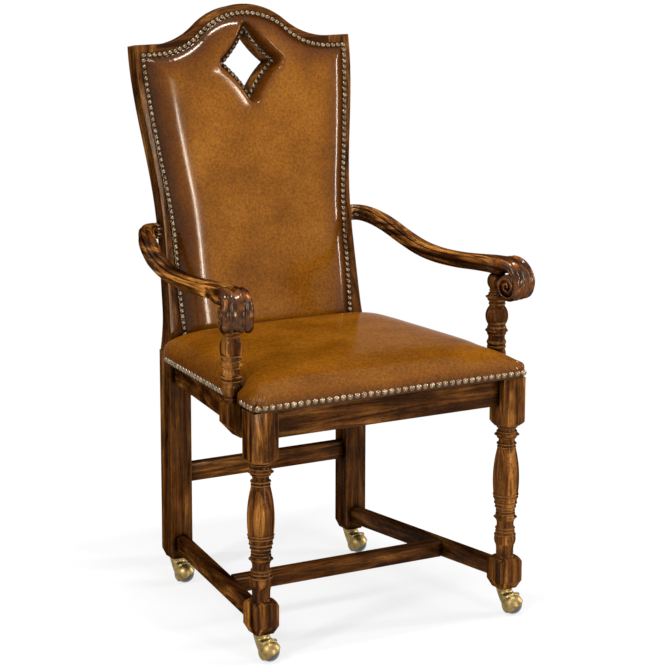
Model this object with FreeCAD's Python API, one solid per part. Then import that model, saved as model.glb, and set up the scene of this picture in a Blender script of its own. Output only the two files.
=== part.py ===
import FreeCAD, Part
import math
import os

Vector = FreeCAD.Vector
UP = Vector(0, 0, 1)

# All sizes are in millimetres. X runs across the chair, its front looks along -Y, Z is height above
# the floor.

# Stance, seen from above
front_leg_spread = 570.0        # between the axes of the front legs
rear_leg_spread = 430.0         # between the axes of the rear legs
leg_depth = 514.0               # from the front axes to the rear axes
front_leg_y = -301.0

# Leg sections
front_leg_size = 52.0
rear_post_size = 49.0
foot_size = 36.0                # square of a leg at its very bottom
foot_taper = 17.0               # height over which the foot widens to the full section
caster_height = 52.0            # floor to the bottom of the wood
lower_block_rise = 8.0          # square block above the top of the stretchers
upper_block_drop = 97.0         # square block below the top of the seat rails
turning_clear_radius = 42.0     # lathe radius that leaves a square block untouched

# Joinery
joint_gap = 0.1                 # glue space round a tenon
tenon_thickness = 10.0
rail_tenon_length = 12.0
stretcher_tenon_length = 14.0
tenon_shoulder = 8.0            # wood above and below a tenon

# Seat rails
seat_rail_top = 501.0
seat_rail_height = 59.0
seat_rail_thickness = 28.0
front_rail_setback = 20.0       # front rail behind the front of the legs
side_rail_front_setback = 15.0  # side rail inside the outer side of the front leg
side_rail_rear_setback = 10.0   # side rail inside the outer side of the rear post
rear_rail_setback = 10.0        # rear rail behind the front of the rear posts
corner_block_leg = 80.0
corner_block_height = 45.0

# Stretchers
stretcher_top = 105.0
stretcher_height = 34.0
stretcher_width = 28.0
stretcher_chamfer = 4.0
cross_stretcher_back = 197.0    # middle of the cross stretcher behind the axes of the front legs
cross_tenon_length = 8.0
rear_stretcher_top = 257.0
rear_stretcher_height = 39.0
rear_stretcher_thickness = 24.0

# Raked back frame: v is height along the rake, u is across, w is depth behind the front face
back_rake = 10.1                # degrees
rake_start_rise = 6.0           # the rake starts this far above the seat rails
stile_thickness = 36.0
stile_width = 49.0
stile_blend = 20.0              # length of the bend behind the seat, on either side of its corner
crest_peak_height = 723.0       # v of the top of the crest
crest_rise = 76.0               # of the peak above the top corners
crest_board_height = 223.0      # from the peak to the lower edge of the crest board
crest_bow_inset = 50.5          # from the outer side of the top corners to the curved part of the crest
stile_overrun = 6.0             # the flared outline starts this far below the rake
stile_flare = (                 # share of the height of the top corners, offset from the leg's outer side
    (0.04, -5.0),
    (0.189, -10.5),
    (0.44, -13.5),
    (0.61, -5.0),
    (0.743, 6.2),
    (0.862, 14.5),
)
stile_corner_flare = 17.0       # the last point of the flare, at the top corners
reed_width = 2.2
reed_depth = 1.6
reed_offsets = (6.0, 13.0, 20.0)  # distance of the reed grooves from the front of the stile
reed_cutter_reach = 6.0         # the cutter of a groove stands this far out of the stile
bottom_rail_low = 32.0
bottom_rail_high = 96.0
bottom_rail_thickness = 26.0
crest_tenon_height = 100.0
back_board_thickness = 8.0
back_board_rebate = 8.0
back_board_gap = 0.2

# Diamond cut-out in the crest
diamond_drop = 124.0            # its centre below the peak of the crest
diamond_half_width = 55.0
diamond_half_height = 66.0
diamond_hollow = 4.0            # how far its sides bend inwards
diamond_liner_wall = 2.2
diamond_nail_gap = 4.2          # from the liner to the middle of the nails, along the width of the diamond
diamond_nail_room = 7.5         # from the middle of the nails to the foot of the padding, the same way

# Leather and padding of the back
leather = 2.0                   # thickness
soft_gap = 0.3                  # between a soft piece and its neighbour
pad_gap = 1.0                   # between the padding of the back and the leather over it
nail_line = (                   # share of the height of the top corners, offset from the leg's outer side
    (0.179, -36.5),
    (0.44, -33.5),
    (0.668, -16.5),
    (0.808, -6.5),
)
nail_line_bottom = -39.5        # offset at the lower edge of the leather
nail_line_corner = 0.5          # offset at the top corners
panel_bottom = 30.0             # v of the lower edge of the front leather
panel_corner_drop = 23.0        # nail line below the top corner of the crest
panel_peak_drop = 20.0          # nail line below the peak of the crest
leather_margin = 6.0            # leather outside the nail line
back_crown = ((0.0, 6.0), (11.0, 11.0), (19.0, 27.0), (24.0, 60.0))     # height, inset from the nail line
diamond_pit = 26.0              # width of the slope of the padding down to the diamond
rear_panel_bottom = 104.0
rear_crown = ((0.0, 4.0), (4.0, 40.0))

# Seat upholstery
seat_side_overhang = 2.0        # outside the front legs
seat_rear_overhang = 31.5       # outside the rear posts
seat_front_overhang = 2.0       # in front of the front legs
seat_rear_gap = 2.5             # between the seat and the rear posts
seat_corner_radius = 16.0       # at the front
seat_rear_corner_radius = 58.0
seat_band_gap = 1.0             # from the seat rails to the lower edge of the leather
seat_band_height = 26.0         # upright part of the leather
seat_crown = (                  # rise above the band, inset, how far the sides are drawn in
    (8.0, 1.0, 2.0),
    (14.0, 3.5, 3.0),
    (20.0, 8.0, 4.0),
    (25.0, 14.5, 4.0),
    (30.0, 26.0, 4.0),
    (34.0, 44.0, 3.0),
    (37.0, 74.0, 2.0),
    (39.0, 120.0, 1.0),
)
seat_frame_height = 24.0
seat_frame_width = 62.0
seat_tongue_gap = 8.0           # between the tongue of the seat frame and the rear posts
webbing_thickness = 1.2
webbing_width = 50.0
webbing_count_across = 6
webbing_count_along = 6
dust_cover_thickness = 1.5
dust_cover_gap = 2.0

# Nails
nail_height = 3.0
nail_shank_radius = 0.8
nail_shank_length = 9.0
seat_nail_radius = 5.3
seat_nail_pitch = 15.6
seat_nail_rise = 9.0            # nails above the lower edge of the seat leather
back_nail_radius = 4.7
back_nail_pitch = 12.3

# Arms: a run from the stile to the scroll hand over the arm post
arm_joint_share = 0.399         # height of the joint on the stile as a share of the top corners' height
arm_joint_depth = 28.7          # joint behind the front of the stile
arm_joint_inset = 17.5          # start of the run inside the outer side of the rear leg
arm_run = (                     # share of the way, swing outwards, rise, width of the section, its height
    (0.0, 0.0, 0.0, 32.0, 34.0),
    (-0.008, 27.8, 0.0, 33.0, 34.0),
    (0.061, 43.2, -0.3, 36.0, 34.0),
    (0.166, 49.7, -9.7, 38.0, 34.0),
    (0.275, 47.4, -23.9, 40.0, 33.0),
    (0.413, 37.3, -31.8, 42.0, 32.0),
    (0.555, 23.8, -29.6, 44.0, 32.0),
    (0.715, 9.6, -19.5, 48.0, 32.0),
    (0.834, 2.8, -9.3, 53.0, 32.0),
    (0.935, 0.2, -0.9, 58.0, 34.0),
    (1.0, 0.0, 0.0, 60.0, 38.0),
)
arm_corner = 0.32               # corner radius as a part of the section's height
arm_end_offset = (-4.0, 40.0, 30.0)     # end of the run from the middle of the scroll
hand_offset = (14.0, -48.0, -14.0)      # middle of the scroll from the top of the arm post
hand_splay = 17.0               # degrees outwards from straight ahead
hand_width = 62.0
hand_outline = (                # forward and up from the middle of the scroll, over the top to the front
    (-62.0, 47.0),
    (-25.0, 55.0),
    (10.0, 42.0),
    (29.0, 8.0),
    (20.0, -24.0),
    (-4.0, -33.0),
    (-26.0, -18.0),
)
hand_underside = ((-27.0, 8.0), (-62.0, 16.0))
volute_radius = 22.0
volute_proud = 3.0              # the carved end of the scroll stands this far out of the hand's sides

# Arm posts
arm_post_inset = 4.0            # axis inside the outer side of the front leg
arm_post_behind = 77.0          # axis behind the axis of the front leg
arm_post_rise = 195.0           # top of the turning above the seat rails
arm_post_foot = 36.0
arm_post_foot_drop = 9.0        # foot below the seat rails
arm_post_foot_shoulder = 13.0   # top of the square foot below the top of the seat rails
arm_post_foot_slope = 30.0      # height of the slanted outer bottom of the foot
arm_post_foot_toe = 8.0         # width that stays flat at the bottom of the foot
arm_post_lap = 8.0              # extra wood of the foot that is cut to the slant of the rail
arm_post_tenon_radius = 7.0
arm_post_tenon_length = 14.0
arm_post_clear = 22.5           # half width of the notch in the seat
arm_post_turning = (            # share of the turned length, radius, swell of the stretch below
    (0.087, 14.0, 1.5),
    (0.125, 12.6, 0.0),
    (0.25, 17.0, 5.0),
    (0.293, 17.0, 2.5),
    (0.346, 17.5, 3.0),
    (0.375, 17.0, 0.0),
    (0.438, 24.0, -1.5),
    (0.5, 18.0, -1.5),
    (0.683, 16.0, 6.5),
    (0.712, 16.0, 0.0),
    (0.779, 24.5, -1.5),
    (0.846, 15.0, -3.0),
    (0.865, 16.0, 0.0),
    (1.0, 16.0, 5.0),
)

# Screws
screw_radius = 2.2
screw_head_radius = 4.5
screw_head_height = 3.0
screw_head_sink = 1.0           # heads in a slanted rail lie this far under its surface
arm_screw_length = 62.0
arm_screw_depth = 21.0          # behind the front of the stile, between the nails of its two faces
post_screw_length = 46.0
post_screw_drops = (45.0, 19.0)         # below the top of the seat rails
seat_screw_length = 58.0
seat_screw_shift = 0.6          # share of the way from the middle of a corner block to the leg

# Casters
ball_radius = 20.0
ball_trail = 20.5               # ball behind the swivel axis, across the axle
ball_side = 17.0                # ball beside the swivel axis, along the axle
axle_tilt = 56.0                # degrees of the axle below the horizontal
caster_turn = -30.0             # degrees of swivel as the chair stands, from the axle along +X
ball_clearance = 0.5
hood_wall = 2.3
hood_lip = 5.0                  # edge of the hood beyond the middle of the ball, along the axle
hood_rim = 1.2                  # swell of the rounded edge of the hood
hood_rim_step = 0.4             # flat between that edge and the ball
hood_top_gap = 0.4              # between the hood and the bottom of the leg
hood_rings = (                  # drop from the top, share of the way to the ball, radius, lean in degrees
    (0.0, 0.0, 17.0, 0.0),
    (6.5, 0.06, 16.4, 0.0),
    (16.0, 0.4, 18.0, 30.0),
    (27.0, 0.9, 14.5, 50.0),
)
swivel_clearance = 0.05
stem_radius = 4.0
stem_length = 36.0
socket_wall = 2.0
socket_end = 2.0
axle_radius = 2.5
axle_reach = 13.0               # from the middle of the ball to the blind end of the axle
axle_head_radius = 4.5
axle_head_height = 1.5

# Places that follow from the sizes above
front_leg_x = front_leg_spread / 2
rear_leg_x = rear_leg_spread / 2
rear_leg_y = front_leg_y + leg_depth
post_front_y = rear_leg_y - rear_post_size / 2
post_outer_x = rear_leg_x + rear_post_size / 2
post_inner_x = rear_leg_x - rear_post_size / 2
leg_outer_x = front_leg_x + front_leg_size / 2
leg_inner_x = front_leg_x - front_leg_size / 2
leg_front_y = front_leg_y - front_leg_size / 2
leg_rear_y = front_leg_y + front_leg_size / 2
lower_block_top = stretcher_top + lower_block_rise
upper_block_bottom = seat_rail_top - upper_block_drop
cross_stretcher_y = front_leg_y + cross_stretcher_back
rake_start_height = seat_rail_top + rake_start_rise
crest_corner_height = crest_peak_height - crest_rise
crest_board_bottom = crest_peak_height - crest_board_height
crest_bow_half = post_outer_x + stile_corner_flare - crest_bow_inset
diamond_height = crest_peak_height - diamond_drop
seat_rail_bottom = seat_rail_top - seat_rail_height
seat_front_half = leg_outer_x + seat_side_overhang
seat_rear_half = post_outer_x + seat_rear_overhang
seat_band_low = seat_rail_top + seat_band_gap
seat_band_high = seat_band_low + seat_band_height
seat_nail_height = seat_band_low + seat_nail_rise
arm_post_x = leg_outer_x - arm_post_inset
arm_post_y = front_leg_y + arm_post_behind
arm_post_bottom = seat_rail_bottom - arm_post_foot_drop
arm_post_foot_top = seat_rail_top - arm_post_foot_shoulder
arm_post_top = seat_rail_top + arm_post_rise
arm_post_head = Vector(arm_post_x, arm_post_y, arm_post_top)
hand_centre = arm_post_head + Vector(*hand_offset)
seat_front_y = leg_front_y - seat_front_overhang
seat_rear_y = post_front_y - seat_rear_gap
seat_frame_top = seat_rail_top + seat_frame_height
pad_bottom = seat_frame_top + 2 * webbing_thickness + 2 * soft_gap

pieces = {}


# Shapes that many pieces share

def line(start, end):
    return Part.LineSegment(start, end).toShape()


def arc(start, middle, end):
    return Part.Arc(start, middle, end).toShape()


def curve(points):
    spline = Part.BSplineCurve()
    spline.interpolate(points)
    return spline.toShape()


def block(x_range, y_range, z_range):
    corner = Vector(min(x_range), min(y_range), min(z_range))
    size = [max(span) - min(span) for span in (x_range, y_range, z_range)]
    return Part.makeBox(size[0], size[1], size[2], corner)


def prism(plan, low, high):
    corners = [Vector(x, y, low) for x, y in plan]
    face = Part.Face(Part.makePolygon(corners + corners[:1]))
    return face.extrude(Vector(0, 0, high - low))


def grown(box, gap):
    bounds = box.BoundBox
    return block(
        (bounds.XMin - gap, bounds.XMax + gap),
        (bounds.YMin - gap, bounds.YMax + gap),
        (bounds.ZMin - gap, bounds.ZMax + gap),
    )


def mirrored(shape):
    return shape.mirror(Vector(0, 0, 0), Vector(1, 0, 0))


def largest(shape):
    return max(shape.Solids, key=lambda solid: solid.Volume)


def both_sides(name, right_shape):
    pieces["right_" + name] = right_shape
    pieces["left_" + name] = mirrored(right_shape)


def bulged(start, end, bulge, outward):
    """Edge from start to end that swells by bulge towards outward."""
    if bulge == 0.0:
        return line(start, end)
    return arc(start, (start + end) * 0.5 + outward * bulge, end)


def rounded(corners, radii, side):
    """Closed outline through corners, each with its radius; side makes the edge between two of them."""
    starts = []
    ends = []
    for index, corner in enumerate(corners):
        after = corners[(index + 1) % len(corners)]
        starts.append(corner + (corners[index - 1] - corner).normalize() * radii[index])
        ends.append(corner + (after - corner).normalize() * radii[index])
    edges = []
    for index, corner in enumerate(corners):
        chord = (starts[index] + ends[index]) * 0.5
        edges.append(arc(starts[index], corner + (chord - corner) * (2 - math.sqrt(2)), ends[index]))
        edges.append(side(ends[index], starts[(index + 1) % len(corners)]))
    return Part.Wire(edges)


def turned(x, y, stations):
    """Lathe work on a vertical axis; each station is height, radius, swell of the stretch below it."""
    points = [Vector(x + radius, y, height) for height, radius, swell in stations]
    edges = [line(Vector(x, y, points[0].z), points[0])]
    for below, above, station in zip(points, points[1:], stations[1:]):
        along = (above - below).normalize()
        edges.append(bulged(below, above, station[2], Vector(along.z, 0, -along.x)))
    edges.append(line(points[-1], Vector(x, y, points[-1].z)))
    edges.append(line(Vector(x, y, points[-1].z), Vector(x, y, points[0].z)))
    return Part.Face(Part.Wire(edges)).revolve(Vector(x, y, 0), UP, 360)


def aimed(shape, position, direction):
    """The shape, made along +Z at the origin, turned to a direction and set at a position."""
    placed = shape.copy()
    placed.Placement = FreeCAD.Placement(position, FreeCAD.Rotation(UP, direction))
    return placed


def on_back(shape):
    """From the back's own frame, x = u, y = w, z = v, to its place on the chair."""
    placed = shape.copy()
    placed.rotate(Vector(0, 0, 0), Vector(1, 0, 0), -back_rake)
    placed.translate(Vector(0, post_front_y, rake_start_height))
    return placed


def square(x, y, size, height):
    half = size / 2
    corners = [Vector(x + a * half, y + b * half, height) for a, b in ((-1, -1), (1, -1), (1, 1), (-1, 1))]
    return Part.makePolygon(corners + corners[:1])


def footed_bar(x, y, size, top):
    foot_top = caster_height + foot_taper
    foot = Part.makeLoft([square(x, y, foot_size, caster_height), square(x, y, size, foot_top)], True, True)
    half = size / 2
    bar = block((x - half, x + half), (y - half, y + half), (foot_top, top))
    return foot.fuse(bar).removeSplitter()


# Casters: a socket let into the leg, and a stem, hood and axle that swivel with the ball in the hood

socket_radius = stem_radius + swivel_clearance + socket_wall
socket_depth = stem_length + socket_end
axle_angle = math.radians(axle_tilt)
axle_direction = Vector(math.cos(axle_angle), 0, -math.sin(axle_angle))
hood_inner_radius = ball_radius + ball_clearance
hood_radius = hood_inner_radius + hood_wall
hood_top = caster_height - hood_top_gap
ball_offset = Vector(ball_side, -ball_trail, 0)
ball_way = Vector(ball_offset).normalize()
ball_centre = ball_offset + UP * ball_radius


def caster_hood():
    rings = []
    for drop, share, radius, lean in hood_rings:
        centre = ball_offset * share + UP * (hood_top - drop)
        angle = math.radians(lean)
        facing = UP * math.cos(angle) - ball_way * math.sin(angle)
        rings.append(Part.Wire(Part.makeCircle(radius, centre, facing)))
    neck = Part.makeLoft(rings, True, False)
    pole = Vector(0, 0, -hood_radius)
    lip_outer = Vector(math.sqrt(hood_radius ** 2 - hood_lip ** 2), 0, hood_lip)
    lip_inner = Vector(math.sqrt(hood_inner_radius ** 2 - hood_lip ** 2) + hood_rim_step, 0, hood_lip)
    lip_middle = Vector(0, 0, hood_lip)
    profile = [
        arc(pole, Vector(hood_radius * math.sqrt(0.5), 0, -hood_radius * math.sqrt(0.5)), lip_outer),
        bulged(lip_outer, lip_inner, hood_rim, UP),
        line(lip_inner, lip_middle),
        line(lip_middle, pole),
    ]
    bowl = aimed(Part.Face(Part.Wire(profile)).revolve(Vector(0, 0, 0), UP, 360), ball_centre, axle_direction)
    return bowl.fuse(neck).cut(Part.makeSphere(hood_inner_radius, ball_centre, axle_direction))


def caster_axle():
    back = hood_radius + axle_head_height
    pin = Part.makeCylinder(axle_radius, back + axle_reach)
    head = Part.makeCylinder(axle_head_radius, axle_head_height + hood_wall / 2)
    return aimed(pin.fuse(head), ball_centre - axle_direction * back, axle_direction)


def caster_ball():
    bore_reach = axle_reach + ball_clearance
    bore = Part.makeCylinder(axle_radius + swivel_clearance, ball_radius + bore_reach)
    bore = aimed(bore, ball_centre - axle_direction * ball_radius, axle_direction)
    return Part.makeSphere(ball_radius, ball_centre, axle_direction).cut(bore)


socket_hole = Part.makeCylinder(socket_radius, socket_depth, UP * caster_height)
socket_bore = Part.makeCylinder(
    stem_radius + swivel_clearance, stem_length + swivel_clearance, UP * caster_height
)
caster_set = {
    "hood": caster_hood().cut(caster_axle()),
    "stem": Part.makeCylinder(stem_radius, stem_length + hood_top_gap, UP * hood_top),
    "axle": caster_axle(),
    "ball": caster_ball(),
}
leg_axes = {
    "front_left": Vector(-front_leg_x, front_leg_y, 0),
    "front_right": Vector(front_leg_x, front_leg_y, 0),
    "rear_left": Vector(-rear_leg_x, rear_leg_y, 0),
    "rear_right": Vector(rear_leg_x, rear_leg_y, 0),
}
for corner, axis in leg_axes.items():
    for name, shape in caster_set.items():
        stood = shape.copy()
        stood.rotate(Vector(0, 0, 0), UP, caster_turn)
        pieces[corner + "_caster_" + name] = stood.translated(axis)
sockets = [socket_hole.cut(socket_bore).translated(axis) for axis in leg_axes.values()]
pieces["caster_sockets"] = Part.makeCompound(sockets)


# Seat rails and their tenons, right side of the chair where a piece is handed

rail_zone = (seat_rail_bottom, seat_rail_top)
rail_tenon_zone = (seat_rail_bottom + tenon_shoulder, seat_rail_top - tenon_shoulder)
half_tenon = tenon_thickness / 2

front_rail_y = leg_front_y + front_rail_setback
front_rail_mid = front_rail_y + seat_rail_thickness / 2
front_rail_tenon = block(
    (leg_inner_x, leg_inner_x + rail_tenon_length),
    (front_rail_mid - half_tenon, front_rail_mid + half_tenon),
    rail_tenon_zone,
)
front_rail = block((-leg_inner_x, leg_inner_x), (front_rail_y, front_rail_y + seat_rail_thickness), rail_zone)
pieces["front_seat_rail"] = front_rail.fuse([front_rail_tenon, mirrored(front_rail_tenon)])

rear_rail_y = post_front_y + rear_rail_setback
rear_rail_mid = rear_rail_y + seat_rail_thickness / 2
rear_rail_tenon = block(
    (post_inner_x, post_inner_x + rail_tenon_length),
    (rear_rail_mid - half_tenon, rear_rail_mid + half_tenon),
    rail_tenon_zone,
)
rear_rail = block((-post_inner_x, post_inner_x), (rear_rail_y, rear_rail_y + seat_rail_thickness), rail_zone)
pieces["rear_seat_rail"] = rear_rail.fuse([rear_rail_tenon, mirrored(rear_rail_tenon)])

side_rail_front_x = leg_outer_x - side_rail_front_setback
side_rail_rear_x = post_outer_x - side_rail_rear_setback
side_rail_plan = (
    (side_rail_front_x, leg_rear_y),
    (side_rail_rear_x, post_front_y),
    (side_rail_rear_x - seat_rail_thickness, post_front_y),
    (side_rail_front_x - seat_rail_thickness, leg_rear_y),
)
side_rail_body = prism(side_rail_plan, seat_rail_bottom, seat_rail_top)


def side_rail_inner(y):
    """Inner side of the right seat rail at a depth y."""
    share = (y - leg_rear_y) / (post_front_y - leg_rear_y)
    return side_rail_front_x + share * (side_rail_rear_x - side_rail_front_x) - seat_rail_thickness



def end_tenon(outer_x, face_y, reach):
    """Tenon on the end of a side rail, running from the face of the leg into it."""
    middle = outer_x - seat_rail_thickness / 2
    return block((middle - half_tenon, middle + half_tenon), (face_y, face_y + reach), rail_tenon_zone)


side_rail_front_tenon = end_tenon(side_rail_front_x, leg_rear_y, -rail_tenon_length)
side_rail_rear_tenon = end_tenon(side_rail_rear_x, post_front_y, rail_tenon_length)
both_sides("seat_rail", side_rail_body.fuse([side_rail_front_tenon, side_rail_rear_tenon]))


# Stretchers

stretcher_bottom = stretcher_top - stretcher_height
half_stretcher = stretcher_width / 2
stretcher_tenon_zone = (stretcher_bottom + tenon_shoulder / 2, stretcher_top - tenon_shoulder)


def top_chamfered(bar, chamfer):
    """Bar with its long upper edges chamfered; the long edges are those over half the bar's length."""
    bounds = bar.BoundBox
    length = max(bounds.XLength, bounds.YLength)
    upper = [
        edge
        for edge in bar.Edges
        if edge.BoundBox.ZMin > bounds.ZMax - 0.01 and edge.Length > length / 2
    ]
    return bar.makeChamfer(chamfer, upper)


side_stretcher_plan = (
    (front_leg_x - half_stretcher, leg_rear_y),
    (front_leg_x + half_stretcher, leg_rear_y),
    (rear_leg_x + half_stretcher, post_front_y),
    (rear_leg_x - half_stretcher, post_front_y),
)
side_stretcher_body = top_chamfered(
    prism(side_stretcher_plan, stretcher_bottom, stretcher_top), stretcher_chamfer
)
stretcher_front_tenon = block(
    (front_leg_x - half_tenon, front_leg_x + half_tenon),
    (leg_rear_y - stretcher_tenon_length, leg_rear_y),
    stretcher_tenon_zone,
)
stretcher_rear_tenon = block(
    (rear_leg_x - half_tenon, rear_leg_x + half_tenon),
    (post_front_y, post_front_y + stretcher_tenon_length),
    stretcher_tenon_zone,
)


def stretcher_inner_x(y):
    """Inner side of the right side stretcher at a depth y."""
    share = (y - leg_rear_y) / (post_front_y - leg_rear_y)
    return front_leg_x + share * (rear_leg_x - front_leg_x) - half_stretcher


cross_front_y = cross_stretcher_y - half_stretcher
cross_rear_y = cross_stretcher_y + half_stretcher
cross_front_x = stretcher_inner_x(cross_front_y)
cross_rear_x = stretcher_inner_x(cross_rear_y)
cross_plan = (
    (-cross_front_x, cross_front_y),
    (cross_front_x, cross_front_y),
    (cross_rear_x, cross_rear_y),
    (-cross_rear_x, cross_rear_y),
)
cross_tenon_x = stretcher_inner_x(cross_stretcher_y) + cross_tenon_length
cross_tenon = block(
    (0, cross_tenon_x), (cross_stretcher_y - half_tenon, cross_stretcher_y + half_tenon), stretcher_tenon_zone
)
cross_body = top_chamfered(prism(cross_plan, stretcher_bottom, stretcher_top), stretcher_chamfer)
pieces["cross_stretcher"] = cross_body.fuse([cross_tenon, mirrored(cross_tenon)]).removeSplitter()

side_stretcher = side_stretcher_body.fuse([stretcher_front_tenon, stretcher_rear_tenon])
both_sides("side_stretcher", side_stretcher.cut(grown(cross_tenon, joint_gap)))

rear_stretcher_bottom = rear_stretcher_top - rear_stretcher_height
half_rear_stretcher = rear_stretcher_thickness / 2
rear_stretcher_tenon = block(
    (post_inner_x, post_inner_x + stretcher_tenon_length),
    (rear_leg_y - half_tenon, rear_leg_y + half_tenon),
    (rear_stretcher_bottom + tenon_shoulder, rear_stretcher_top - tenon_shoulder),
)
rear_stretcher = block(
    (-post_inner_x, post_inner_x),
    (rear_leg_y - half_rear_stretcher, rear_leg_y + half_rear_stretcher),
    (rear_stretcher_bottom, rear_stretcher_top),
)
pieces["rear_stretcher"] = rear_stretcher.fuse([rear_stretcher_tenon, mirrored(rear_stretcher_tenon)])


# Front legs: square blocks at the joints, turned between them

lower_turning = (               # height above the lower block, radius, swell of the stretch below
    (6.0, 20.0, 4.0),
    (14.0, 18.0, -1.0),
    (31.0, 19.0, -0.5),
    (59.0, 18.0, 4.0),
    (65.0, 18.0, 1.5),
    (71.0, 17.5, 1.5),
    (79.0, 17.5, 0.0),
    (90.4, 24.5, -1.5),
    (102.0, 18.0, -1.5),
)
upper_turning = (               # depth below the upper block, radius, swell of the stretch below
    (47.0, 17.0, 9.6),
    (41.0, 17.0, 2.0),
    (36.0, 16.5, 0.0),
    (25.0, 26.0, -2.0),
    (12.0, 18.0, -2.0),
    (6.0, 18.0, 1.5),
)
shoulder_height = 12.0


def front_leg(x, y):
    stations = [(caster_height, turning_clear_radius, 0.0)]
    stations.append((lower_block_top - shoulder_height, turning_clear_radius, 0.0))
    stations += [(lower_block_top + rise, radius, swell) for rise, radius, swell in lower_turning]
    stations += [(upper_block_bottom - drop, radius, swell) for drop, radius, swell in upper_turning]
    stations.append((upper_block_bottom + shoulder_height, turning_clear_radius, 4.0))
    stations.append((seat_rail_top, turning_clear_radius, 0.0))
    leg = footed_bar(x, y, front_leg_size, seat_rail_top).common(turned(x, y, stations))
    for tenon in (front_rail_tenon, side_rail_front_tenon, stretcher_front_tenon):
        leg = leg.cut(grown(tenon, joint_gap))
    return leg.cut(socket_hole.translated(Vector(x, y, 0)))


both_sides("front_leg", front_leg(front_leg_x, front_leg_y))


# Back posts: a square leg below the seat and a raked, flared stile above it, cut from one plank

def stile_edge(offset):
    """Points (u, v) of the flared outer edge of the right stile, moved inwards by offset."""
    points = [(post_outer_x - offset, -stile_overrun)]
    points += [(post_outer_x + flare - offset, share * crest_corner_height) for share, flare in stile_flare]
    points.append((post_outer_x + stile_corner_flare - offset, crest_corner_height))
    return [Vector(u, 0, v) for u, v in points]


def stile_strip(offset_out, offset_in, w_range):
    """Part of the right stile between two offsets of its outer edge and two depths."""
    outer = stile_edge(offset_out)
    inner = stile_edge(offset_in)
    edges = [curve(outer), line(outer[-1], inner[-1]), curve(inner), line(inner[0], outer[0])]
    strip = Part.Face(Part.Wire(edges)).extrude(Vector(0, w_range[1] - w_range[0], 0))
    strip.translate(Vector(0, w_range[0], 0))
    return strip


def on_rake(w, v):
    """Depth and height on the chair of a point of the back's own frame."""
    angle = math.radians(back_rake)
    y = post_front_y + w * math.cos(angle) + v * math.sin(angle)
    z = rake_start_height - w * math.sin(angle) + v * math.cos(angle)
    return Vector(0, y, z)


def post_side_profile():
    """Side view of a post: upright leg, bend behind the seat, raked stile."""
    angle = math.radians(back_rake)
    leg_back_y = post_front_y + rear_post_size
    bend_v = (leg_back_y - post_front_y - stile_thickness * math.cos(angle)) / math.sin(angle)
    bend = on_rake(stile_thickness, bend_v)
    bend_low = bend - UP * stile_blend
    bend_high = on_rake(stile_thickness, bend_v + stile_blend)
    radius = stile_blend / math.tan(angle / 2)
    toward_middle = ((bend_low + bend_high) * 0.5 - bend).normalize()
    bend_middle = bend + toward_middle * (math.hypot(stile_blend, radius) - radius)
    top_v = crest_peak_height + stile_blend
    front_low = Vector(0, post_front_y, caster_height)
    back_low = Vector(0, leg_back_y, caster_height)
    edges = [
        line(front_low, on_rake(0, 0)),
        line(on_rake(0, 0), on_rake(0, top_v)),
        line(on_rake(0, top_v), on_rake(stile_thickness, top_v)),
        line(on_rake(stile_thickness, top_v), bend_high),
        arc(bend_high, bend_middle, bend_low),
        line(bend_low, back_low),
        line(back_low, front_low),
    ]
    width = 4 * post_outer_x
    profile = Part.Face(Part.Wire(edges)).extrude(Vector(width, 0, 0))
    profile.translate(Vector(-width / 2, 0, 0))
    return profile


plank = 2 * rear_post_size
upper_stile = on_back(stile_strip(0.0, stile_width, (-plank, plank)))
lower_leg = footed_bar(rear_leg_x, rear_leg_y, rear_post_size, rake_start_height)
right_post_blank = lower_leg.fuse(upper_stile).common(post_side_profile()).removeSplitter()


def bottom_rail_tenon():
    reach = post_outer_x - stile_width + rail_tenon_length
    middle = stile_thickness / 2
    return block(
        (0, reach),
        (middle - half_tenon, middle + half_tenon),
        (bottom_rail_low + tenon_shoulder, bottom_rail_high - tenon_shoulder),
    )


def crest_tenon():
    reach = post_outer_x + stile_corner_flare - stile_width + rail_tenon_length
    middle = stile_thickness / 2
    bottom = crest_board_bottom + tenon_shoulder
    top = bottom + crest_tenon_height
    return block((0, reach), (middle - half_tenon, middle + half_tenon), (bottom, top))


def back_board(gap):
    """Board behind the padding, as wide as the opening of the frame plus its rebates."""
    right_edge = stile_edge(stile_width - back_board_rebate + gap)
    left_edge = [Vector(-point.x, 0, point.z) for point in right_edge]
    edges = [
        curve(right_edge),
        line(right_edge[-1], left_edge[-1]),
        curve(left_edge),
        line(left_edge[0], right_edge[0]),
    ]
    sheet = Part.Face(Part.Wire(edges)).extrude(Vector(0, back_board_thickness - gap, 0))
    low = bottom_rail_high - back_board_rebate + gap
    high = crest_board_bottom + back_board_rebate - gap
    reach = 2 * post_outer_x
    return sheet.common(block((-reach, reach), (-reach, reach), (low, high)))


board_pocket = on_back(back_board(0.0))
pieces["back_panel_board"] = on_back(back_board(back_board_gap))

right_post = right_post_blank.cut(board_pocket)
for tenon in (bottom_rail_tenon(), crest_tenon()):
    right_post = right_post.cut(on_back(grown(tenon, joint_gap)))
for tenon in (rear_rail_tenon, side_rail_rear_tenon, stretcher_rear_tenon, rear_stretcher_tenon):
    right_post = right_post.cut(grown(tenon, joint_gap))
right_post = right_post.cut(socket_hole.translated(leg_axes["rear_right"]))
for offset in reed_offsets:
    groove = on_back(stile_strip(-reed_cutter_reach, reed_depth, (offset, offset + reed_width)))
    groove_low = block(
        (post_outer_x - reed_depth, post_outer_x + reed_cutter_reach),
        (post_front_y + offset, post_front_y + offset + reed_width),
        (caster_height, rake_start_height - stile_overrun),
    )
    right_post = right_post.cut(groove).cut(groove_low)
both_sides("back_post", right_post)

# The stiles lean in over the ends of the rear seat rail, which is trimmed to them
rear_rail = pieces["rear_seat_rail"]
pieces["rear_seat_rail"] = rear_rail.cut(right_post).cut(mirrored(right_post))


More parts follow.
